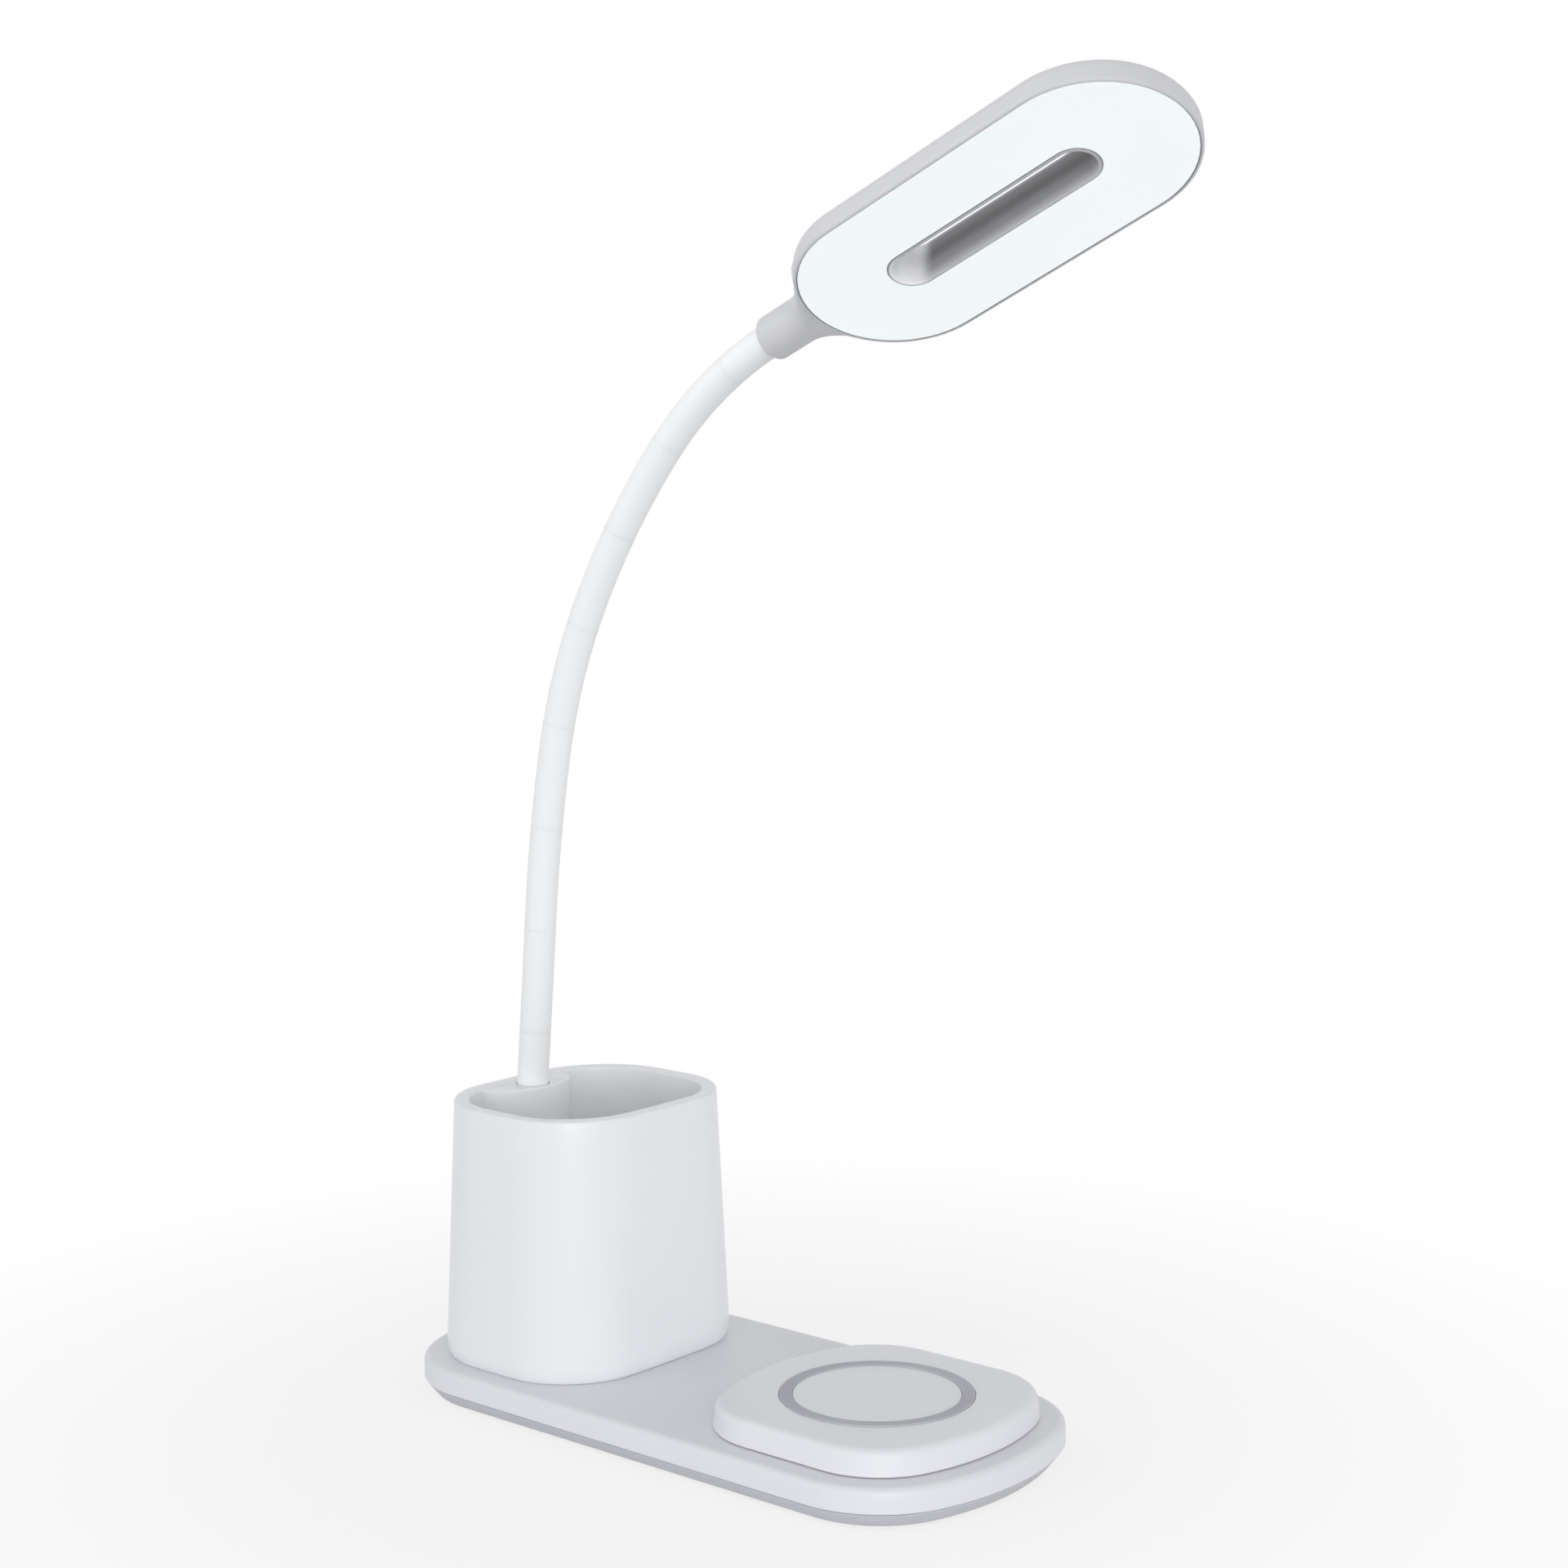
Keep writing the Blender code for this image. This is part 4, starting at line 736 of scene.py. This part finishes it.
def make_contacts():
    """Two rows of thin gold strips, on the tongue's upper and lower side."""
    start_y, end_y = INLET_FLOOR_Y, INLET_FLOOR_Y + TONGUE[2] - 0.7 * MM
    half, thin, out = 0.13 * MM, 0.02 * MM, TONGUE[1] / 2 + 0.002 * MM
    points, faces = [], []
    for side in (-1, 1):
        for k in range(CONTACTS):
            x = INLET_X + (k - (CONTACTS - 1) / 2) * CONTACT_PITCH
            z = INLET_Z + side * out
            n = len(points)
            for level in (z - thin, z + thin):
                points += [(x - half, start_y, level), (x + half, start_y, level)]
                points += [(x + half, end_y, level), (x - half, end_y, level)]
            faces += [(n, n + 1, n + 2, n + 3), (n + 4, n + 5, n + 6, n + 7)]
            faces += [(n + a, n + (a + 1) % 4, n + 4 + (a + 1) % 4, n + 4 + a) for a in range(4)]
    settle(mesh_object("inlet_contacts", points, faces, gold), "stand", "ferrule_brass")


# Charging pad


def make_pad():
    """A raised cover with drawn-in sides and a soft top edge, grooved for the grip ring."""
    soft, shoulder = PAD_LOW + PAD_LOWER_EDGE, PAD_TOP - PAD_EDGE
    rows = [(PAD_EDGE, PAD_LOW + 4 * MM), (PAD_EDGE, PAD_LOW), (PAD_LOWER_EDGE, PAD_LOW), (0.0, soft)]
    rows += [(PAD_DRAFT * k / 4, soft + (shoulder - soft) * k / 4) for k in range(1, 4)]
    rows += [(PAD_DRAFT + inset, shoulder + rise) for inset, rise in round_over(PAD_EDGE, PAD_EDGE, 12)]
    pad = loft("pad_shell", stacked(pad_plan, rows), pad_white)
    inner, outer, depth = RING_INNER - RING_PLAY, RING_OUTER + RING_PLAY, PAD_TOP - RING_GROOVE
    profile = [(inner, depth), (outer, depth), (outer, PAD_TOP + OVERRUN), (inner, PAD_TOP + OVERRUN)]
    groove = turned("cutter", profile, sides=128, ring=True)
    groove.location = (PAD_X, 0, 0)
    carve(pad, [groove])
    settle(pad, "stand", "pad_plastic", "charging_pad_cover")


def make_grip_ring():
    """A rubber ring with rounded edges and three fine grooves round its top."""
    top, soft, half, depth, grooves = PAD_TOP + RING_PROUD, 0.3 * MM, 0.16 * MM, 0.12 * MM, 3
    edge = round_over(soft, soft, 5)
    low = top - RING_HEIGHT
    profile = [(RING_INNER, low), (RING_OUTER, low), (RING_OUTER, top - soft)]
    profile += [(RING_OUTER - inset, top - soft + rise) for inset, rise in edge]
    for k in range(1, grooves + 1):
        middle = RING_OUTER - (RING_OUTER - RING_INNER) * k / (grooves + 1)
        profile += [(middle + half, top), (middle, top - depth), (middle - half, top)]
    profile += [(RING_INNER + inset, top - soft + rise) for inset, rise in reversed(edge)]
    ring = turned("grip_ring", profile, grip_rubber, 160, ring=True, sharp=50)
    ring.location = (PAD_X, 0, 0)
    settle(ring, "stand", "grip_silicone", "pad_grip_ring")


# Pen cup


def cup_loop(inset, z):
    share = (z - CUP_LOW) / (CUP_TOP - CUP_LOW)
    length, depth = (foot + (rim - foot) * share for foot, rim in zip(CUP_FOOT, CUP_RIM))
    return at(moved(soft_box(length, depth, *CUP_SHAPE, inset, 20, 14), CUP_X, 0), z)


def pocket_loop(inset, z):
    draft = POCKET_DRAFT * (CUP_TOP - z) / (CUP_TOP - CUP_LOW)
    box = soft_box(*CUP_RIM, *CUP_SHAPE, RIM_WIDTH + draft + inset, 20, 14)
    return at(moved(box, CUP_X, 0), z)


def make_cup():
    """Up the outside from the foot, over the rim's two soft edges and down to the floor inside."""
    seat = COVER_TOP + 0.02 * MM
    foot_run, foot_rise = CUP_FOOT_EDGE
    start, end, low = seat + foot_rise, CUP_TOP - CUP_EDGE, CUP_FLOOR + POCKET_ROUND
    foot = round_over(foot_run, foot_rise, 12)
    edge = round_over(CUP_EDGE, CUP_EDGE, 6)
    loops = [cup_loop(6 * MM, seat)]
    loops += [cup_loop(inset, start - rise) for inset, rise in reversed(foot)]
    loops += [cup_loop(0, start + (end - start) * k / 12) for k in range(1, 12)]
    loops += [cup_loop(inset, end + rise) for inset, rise in edge]
    loops += [pocket_loop(-inset, end + rise) for inset, rise in reversed(edge)]
    loops += [pocket_loop(0, end + (low - end) * k / 10) for k in range(1, 10)]
    loops += [pocket_loop(inset, low - rise) for inset, rise in round_over(POCKET_ROUND, POCKET_ROUND, 8)]
    settle(loft("cup_shell", loops, cup_white), "stand", "cup_plastic", "pen_cup")


def boss_reach(way, inset):
    """How far a ray from the bore's middle runs to half an oval, whose flat side lies in the wall."""
    low, high = 0.0, 20 * MM
    for _ in range(30):
        mid = (low + high) / 2
        x, y = NECK_X - BOSS_X + way[0] * mid, way[1] * mid
        oval = math.hypot(x / (BOSS[0] - inset), y / (BOSS[1] - inset)) - 1
        if x < 0:
            oval = abs(y) / (BOSS[1] - inset) - 1
        low, high = (mid, high) if max(oval, -x - BOSS_BACK) < 0 else (low, mid)
    return low


def boss_loop(inset, z, sides=96):
    ways = circle(1.0, sides)
    reaches = [boss_reach(way, inset) for way in ways]
    return [(NECK_X + x * reach, y * reach, z) for (x, y), reach in zip(ways, reaches)]


def bore_loop(radius, z, sides=96):
    return at(circle(radius, sides, (NECK_X, 0)), z)


def make_boss():
    """The column at the cup's left wall, with a soft top edge and the bore that the neck leaves by."""
    shoulder = BOSS_TOP - BOSS_EDGE
    loops = [boss_loop(0, CUP_FLOOR - OVERRUN), boss_loop(0, shoulder)]
    loops += [boss_loop(inset, shoulder + rise) for inset, rise in round_over(BOSS_EDGE, BOSS_EDGE, 5)[1:]]
    mouth = ((0.25, 0.0), (0.05, 0.1), (0.0, 0.3))
    loops += [bore_loop(BOSS_BORE + out * MM, BOSS_TOP - down * MM) for out, down in mouth]
    loops += [bore_loop(radius, BOSS_TOP - BOSS_BORE_DEPTH) for radius in (BOSS_BORE, 1 * MM)]
    settle(loft("neck_boss", loops, cup_white), "stand", "cup_plastic")


# Gooseneck


def neck_lean(along):
    return float(np.interp(along / NECK_LENGTH, np.linspace(0, 1, len(LEANS)), LEANS))


def neck_line(fine=2000):
    """Lengths along the sleeve, and the x and z of its middle line from the cup's mouth."""
    step = NECK_LENGTH / fine
    lean = np.array([neck_lean((i + 0.5) * step) for i in range(fine)])
    xs = np.concatenate([[0], np.cumsum(np.sin(lean) * step)])
    zs = np.concatenate([[0], np.cumsum(np.cos(lean) * step)])
    return np.arange(fine + 1) * step, xs, zs


NECK_STEPS, NECK_XS, NECK_ZS = neck_line()


def neck_place(along):
    """Centre, side and ahead of the sleeve's middle line at a length along it."""
    inside = min(max(along, 0.0), NECK_LENGTH)
    lean = neck_lean(inside)
    x = float(np.interp(inside, NECK_STEPS, NECK_XS)) + (along - inside) * math.sin(lean)
    z = float(np.interp(inside, NECK_STEPS, NECK_ZS)) + (along - inside) * math.cos(lean)
    if along < 0:
        x, z = 0.0, along
    side = Vector((math.cos(lean), 0, -math.sin(lean)))
    ahead = Vector((math.sin(lean), 0, math.cos(lean)))
    return Vector((NECK_X + x, 0, NECK_EXIT + z)), side, ahead


def neck_loop(along, radius, back=0.0, sides=96):
    """A ring round the sleeve, moved back along its own axis."""
    centre, side, ahead = neck_place(along)
    return [centre - ahead * back + side * a + Vector((0, b, 0)) for a, b in circle(radius, sides)]


def joint_rim(i):
    """How far below joint i's centre the lower sleeve ends: just clear of the upper one at full bend."""
    return NECK_RADIUS * math.tan(LIMITS[i - 1] / 2) + ROOM


def ball_turns(first):
    """Angles from just under the rim down to the pole, closest near the rim."""
    near = np.arange(first, math.radians(24), math.radians(2))
    return np.concatenate([near, np.radians(np.arange(24, 89, 8))])


def ball_loops(start, rim):
    """The ball at a sleeve's low end, and the fine edge where it meets the sleeve below."""
    turns = ball_turns(math.asin((rim - HAIRLINE) / NECK_RADIUS))[::-1]
    loops = [neck_loop(start, NECK_RADIUS * math.cos(t), NECK_RADIUS * math.sin(t)) for t in turns]
    loops.append(neck_loop(start, NECK_RADIUS - 2 * HAIRLINE, rim - HAIRLINE))
    loops.append(neck_loop(start, NECK_RADIUS, rim - 6 * HAIRLINE))
    return loops


def socket_loops(end, rim):
    """The hollow at a sleeve's top end that the next one's ball turns in."""
    radius = math.hypot(NECK_RADIUS, rim)
    turns = ball_turns(math.asin(rim / radius))
    return [neck_loop(end, radius * math.cos(t), radius * math.sin(t)) for t in turns]


def make_neck():
    """A sleeve on each body from joint to joint, and the place where the last one meets the head."""
    piece, easing = NECK_LENGTH / NECK_JOINTS, 1.0 * MM
    for i in range(NECK_JOINTS + 1):
        low, high = -NECK_FOOT, NECK_LENGTH + NECK_INSERT
        foot, top = [], []
        if i > 0:
            start = piece * (i - 0.5)
            low, foot = start + easing, ball_loops(start, joint_rim(i))
        if i < NECK_JOINTS:
            end = piece * (i + 0.5)
            high, top = end - easing, socket_loops(end, joint_rim(i + 1))
        run = [neck_loop(along, NECK_RADIUS) for along in np.linspace(low, high, 30)]
        tube = loft(f"neck_sleeve_{i}", foot + run + top, neck_white, sharp=60)
        settle(tube, f"neck_{i}" if i else "stand", "neck_silicone", f"neck_segment_{i}")
    return neck_place(NECK_LENGTH)[0]


# Head: made in its own frame, then placed at the collar's mouth


def smooth_min(a, b, k):
    h = np.maximum(k - np.abs(a - b), 0.0)
    return np.minimum(a, b) - h * h / (4 * k)


def smooth_max(a, b, k):
    return -smooth_min(-a, -b, k)


def share_of(value, start, run):
    return np.clip((value - start) / run, 0, 1)


def eased(share):
    return share * share * (3 - 2 * share)


def dome_form(x, y, z):
    """Outside the housing: upright sides to the shoulder, then an elliptical crown."""
    beyond = np.maximum(np.abs(x - REACH) - (HEAD[0] - HEAD[1]) / 2, 0)
    inside = HEAD[1] / 2 - np.hypot(beyond, y)
    run, rise = CROWN
    a = np.maximum(run - inside, 0) / run
    b = np.maximum(z - SHOULDER, 0) / rise
    size = np.sqrt(a * a + b * b)
    slope = np.sqrt((a / run) ** 2 + (b / rise) ** 2) / np.maximum(size, 1e-6)
    return (size - 1) / np.maximum(slope, 1 / run)


def web_form(x, y, z):
    """Outside the collar and web: a round section that widens, flattens and sinks to the shoulder."""
    far = np.clip(x - FLARE_START, 0, FLARE_RUN)
    flare = FLARE_RADIUS - np.sqrt(FLARE_RADIUS**2 - far**2)
    straight = np.clip(x - FLARE_START - FLARE_RUN, 0, FLARE_STRAIGHT) * FLARE_SLOPE
    half_w = COLLAR_RADIUS + flare + straight
    change = share_of(x, *WEB_CHANGING)
    sink = eased(share_of(x, *WEB_SINKING)) * WEB_SINK
    level = z + sink
    lower, upper = WEB_DROP * eased(change) - sink, WEB_RISE * eased(change) + sink
    half_h = COLLAR_RADIUS + np.where(level < 0, lower, upper)
    power = 2 + 0.5 * change
    section = (np.abs(y / half_w) ** power + np.abs(level / half_h) ** power) ** (1 / power) - 1
    web = section * np.minimum(half_w, half_h)
    return smooth_max(smooth_max(web, -x, 1.2 * MM), x - WEB_END, 1.0 * MM)


def head_form(points):
    """How far points lie outside the head's outer surface, roughly in metres."""
    x, y, z = points.T
    body = smooth_min(dome_form(x, y, z), web_form(x, y, z), 1.0 * MM)
    return smooth_max(body, FACE - z, 0.8 * MM)


def shrink_to_form(mesh, rounds=6, h=0.02 * MM, longest=0.8 * MM):
    """Moves the mesh's points down the form's slope until they lie on its surface."""
    points = np.empty(len(mesh.vertices) * 3)
    mesh.vertices.foreach_get("co", points)
    points = points.reshape(-1, 3)
    for _ in range(rounds):
        rises = [head_form(points + h * way) - head_form(points - h * way) for way in np.eye(3)]
        slope = np.stack(rises, 1) / (2 * h)
        steepness = np.maximum((slope**2).sum(1), 0.05)
        step = np.clip(head_form(points) / steepness, -longest, longest)
        points = points - slope * step[:, None]
    mesh.vertices.foreach_set("co", points.ravel())
    mesh.update()


def head_plan(inset):
    return moved(stadium(*HEAD, inset, 48, 40), REACH, 0)


def face_rows(size, rows):
    """Loops round a slot-shaped outline, (out from it, above the face), both in mm."""
    loops = []
    for out, up in rows:
        outline = stadium(size[0] + 2 * out * MM, size[1] + 2 * out * MM, 0, 28, 24)
        loops.append(at(moved(outline, REACH, 0), FACE + up * MM))
    return loops


def collar_ring(x, half_y, half_z, sides):
    turns = np.linspace(0, 2 * math.pi, sides + 1)[:-1]
    return [(x * MM, half_y * MM * math.cos(t), half_z * MM * math.sin(t)) for t in turns]


def rough_head():
    """The housing joined to a plain stub, remeshed finely enough to be drawn onto the form."""
    rows = [(FACE_EDGE, FACE), (0.0, FACE + FACE_EDGE)]
    rows += [(inset, SHOULDER + rise) for inset, rise in round_over(*CROWN, 12)]
    body = loft("head_shell", stacked(head_plan, rows))
    # Along the head, half width and half height, in mm
    sections = ((0, 5.2, 5.2), (1, 5.6, 5.6), (11, 5.7, 5.6), (15, 7.1, 5.5), (18, 9.9, 5.2))
    sections += ((25, 16.8, 5.0), (30, 16.8, 5.0))
    stub = loft("cutter", [collar_ring(*section, 48) for section in sections])
    carve(body, [stub], "UNION")
    fine = body.modifiers.new("fine", "REMESH")
    fine.mode = "VOXEL"
    fine.voxel_size = 0.5 * MM
    applied(body)
    return body


def make_housing(place):
    body = rough_head()
    shrink_to_form(body.data)
    body.data.materials.clear()
    body.data.materials.append(head_white)
    low, high = -2.0, PANEL_RECESS / MM
    recess = face_rows(SLEEVE, [(0, low)]) + face_rows(PANEL, [(0, low), (0, high)])
    recess = loft("cutter", recess + face_rows(SLEEVE, [(0, high)]), ring=True)
    depth = (HEAD_TOP - FACE) / MM
    slot = ((-0.3, -1.0), (-0.3, depth - 0.4), (-0.05, depth), (1.2, depth + 1.2))
    bore = [collar_ring(x, r, r, 64) for x, r in ((-1, 4.62), (0.5, 4.55), (12, 4.5))]
    carve(body, [recess, loft("cutter", face_rows(SLEEVE, slot)), loft("cutter", bore)], sharp=38)
    settle(placed(body, place), "head", "head_plastic", "head_housing")


def make_seams(place):
    """Real gaps round the diffuser, at the housing's lip and at the slot's sleeve, floored with a dark grey
    that is painted shade for the shadow in them.
    """
    near, far = 0.02, SEAM - 0.02
    profile = ((near, 1.2), (near, 0.22), (0.1, 0.16), (SEAM - 0.1, 0.16), (far, 0.22), (far, 1.2))
    for i, (size, way) in enumerate(((PANEL, -1), (SLEEVE, 1))):
        rows = face_rows(size, [(way * out, up) for out, up in profile])
        seam = loft(f"head_gap_shade_{i + 1}", rows, gap_painted_shade, ring=True)
        settle(placed(seam, place), "head", "head_plastic")


def make_diffuser(place):
    rims = ((0, 1.3), (0, 0.3), (0.05, 0.18), (0.16, 0.1))
    rows = face_rows(PANEL, [(-SEAM - out, up) for out, up in rims])
    rows += face_rows(SLEEVE, [(SEAM + out, up) for out, up in reversed(rims)])
    panel = loft("diffuser_panel", rows, diffuser_opal, ring=True)
    settle(placed(panel, place), "head", "diffuser_opal", "diffuser")


def make_slot_lining(place):
    """The slot's own wall, kept in the head's frame so that its painted shade can follow the depth."""
    lip = [(0.0, 0.5), (0.03, 0.25), (0.12, 0.08), (0.3, 0.0), (0.62, 0.0), (0.74, 0.06), (0.8, 0.2)]
    top = [(0.8, 10.4), (0.72, 10.9), (0.5, 11.0), (0.2, 10.9), (0.05, 10.7), (0.0, 10.4)]
    wall = [(0.0, 8.0), (0.0, 5.5), (0.0, 3.0)]
    lining = loft("slot_lining", face_rows(SLOT, lip + top + wall), slot_shade, ring=True)
    lining.matrix_world = place
    settle(lining, "head", "head_plastic")


def make_head(mouth):
    place = Matrix.Translation(mouth) @ Matrix.Rotation(LEANS[-1] - math.pi / 2, 4, "Y")
    place = place @ Matrix.Rotation(HEAD_ROLL, 4, "X")
    make_housing(place)
    make_seams(place)
    make_diffuser(place)
    make_slot_lining(place)


# Surroundings


def make_camera():
    level = math.cos(CAMERA_PITCH)
    ahead = Vector((-math.sin(CAMERA_TURN) * level, math.cos(CAMERA_TURN) * level, -math.sin(CAMERA_PITCH)))
    right = Vector((math.cos(CAMERA_TURN), math.sin(CAMERA_TURN), 0))
    up = right.cross(ahead)
    c, s = math.cos(CAMERA_ROLL), math.sin(CAMERA_ROLL)
    lens = bpy.data.cameras.new("camera")
    lens.sensor_width = SENSOR
    lens.lens = FOCAL_PIXELS / FRAME_PIXELS * SENSOR
    lens.clip_start = 0.01
    eye = bpy.data.objects.new("camera", lens)
    bpy.context.scene.collection.objects.link(eye)
    spot = Matrix((right * c + up * s, up * c - right * s, -ahead)).transposed().to_4x4()
    spot.translation = CAMERA_PLACE
    eye.matrix_world = spot
    bpy.context.scene.camera = eye


def light(name, where, target, size, power, spread=180.0):
    """A soft rectangular light that faces its target; the spread is in degrees."""
    lamp = bpy.data.lights.new(name, "AREA")
    lamp.shape = "RECTANGLE"
    lamp.size, lamp.size_y = size
    lamp.energy = power
    lamp.spread = math.radians(spread)
    thing = bpy.data.objects.new(name, lamp)
    bpy.context.scene.collection.objects.link(thing)
    thing.location = where
    thing.rotation_euler = (Vector(target) - Vector(where)).to_track_quat("-Z", "Y").to_euler()


def make_lights():
    light("key", (1.12, -0.95, 0.42), (0, 0, 0.12), size=(0.7, 0.9), power=5.4)
    light("strip", (0.78, -0.98, 0.10), (-0.03, 0, 0.05), size=(0.10, 0.22), power=0.9)
    light("side", (-0.30, -0.42, 0.58), (0.07, 0, 0.285), size=(0.3, 0.3), power=0.10, spread=56.0)


def make_world():
    """Soft light that is brightest near the horizon, and plain white where it is seen."""
    world = bpy.data.worlds.new("studio")
    bpy.context.scene.world = world
    world.use_nodes = True
    tree = world.node_tree
    tree.nodes.clear()
    out = tree.nodes.new("ShaderNodeOutputWorld")
    soft = tree.nodes.new("ShaderNodeBackground")
    soft.inputs["Strength"].default_value = SKY_STRENGTH
    split = tree.nodes.new("ShaderNodeSeparateXYZ")
    tree.links.new(tree.nodes.new("ShaderNodeTexCoord").outputs["Generated"], split.inputs[0])
    horizon, zenith = (0.97, 0.98, 1.0), (0.16, 0.165, 0.18)
    sky = tinted(tree, split.outputs["Z"], horizon, zenith, 0.0, 1.0)
    tree.links.new(sky, soft.inputs["Color"])
    white = tree.nodes.new("ShaderNodeBackground")
    white.inputs["Color"].default_value = (1, 1, 1, 1)
    white.inputs["Strength"].default_value = 1.0
    mixed(tree, background_rays(tree), soft, white, out.inputs["Surface"])


def make_floor():
    """A pale floor that shows the lamp's shadow near it and fades to white further out. Its own colour
    darkens away from the middle, a painted fall-off of light that dims the light bouncing up from it.
    """
    made = bpy.data.materials.new("floor_white")
    made.use_nodes = True
    tree = made.node_tree
    tree.nodes.clear()
    out = tree.nodes.new("ShaderNodeOutputMaterial")
    dull = tree.nodes.new("ShaderNodeBsdfDiffuse")
    bright = tree.nodes.new("ShaderNodeEmission")
    bright.inputs["Color"].default_value = (1, 1, 1, 1)
    bright.inputs["Strength"].default_value = 1.0
    length = tree.nodes.new("ShaderNodeVectorMath")
    length.operation = "LENGTH"
    tree.links.new(own_place(tree), length.inputs[0])
    away = length.outputs["Value"]
    # Painted shade: the floor's colour darkens between these distances from the middle
    reach = ranged(tree, away, 0.0, 1.0, *FLOOR_SHADE)
    shade = tinted(tree, reach, (0.90, 0.90, 0.91), (0.42, 0.42, 0.43), 0.0, 1.0)
    tree.links.new(shade, dull.inputs["Color"])
    fade = ranged(tree, away, FLOOR_LEAST_WHITE, 1.0, *FLOOR_FADE)
    share = arithmetic(tree, "MULTIPLY", fade, background_rays(tree))
    mixed(tree, share, dull, bright, out.inputs["Surface"])
    corners = at(four(FLOOR_HALF, FLOOR_HALF), 0)
    floor = mesh_object("floor", corners, [(2, 3, 0, 1)], made)
    floor.location = (0, 0, DESK_Z)


def main():
    bpy.context.scene.view_settings.view_transform = "Standard"
    make_camera()
    make_world()
    make_floor()
    make_lights()
    dress_solids()
    make_tray()
    make_cover()
    make_feet()
    make_screws()
    make_inlet()
    make_contacts()
    make_pad()
    make_grip_ring()
    make_cup()
    make_boss()
    make_head(make_neck())


main()
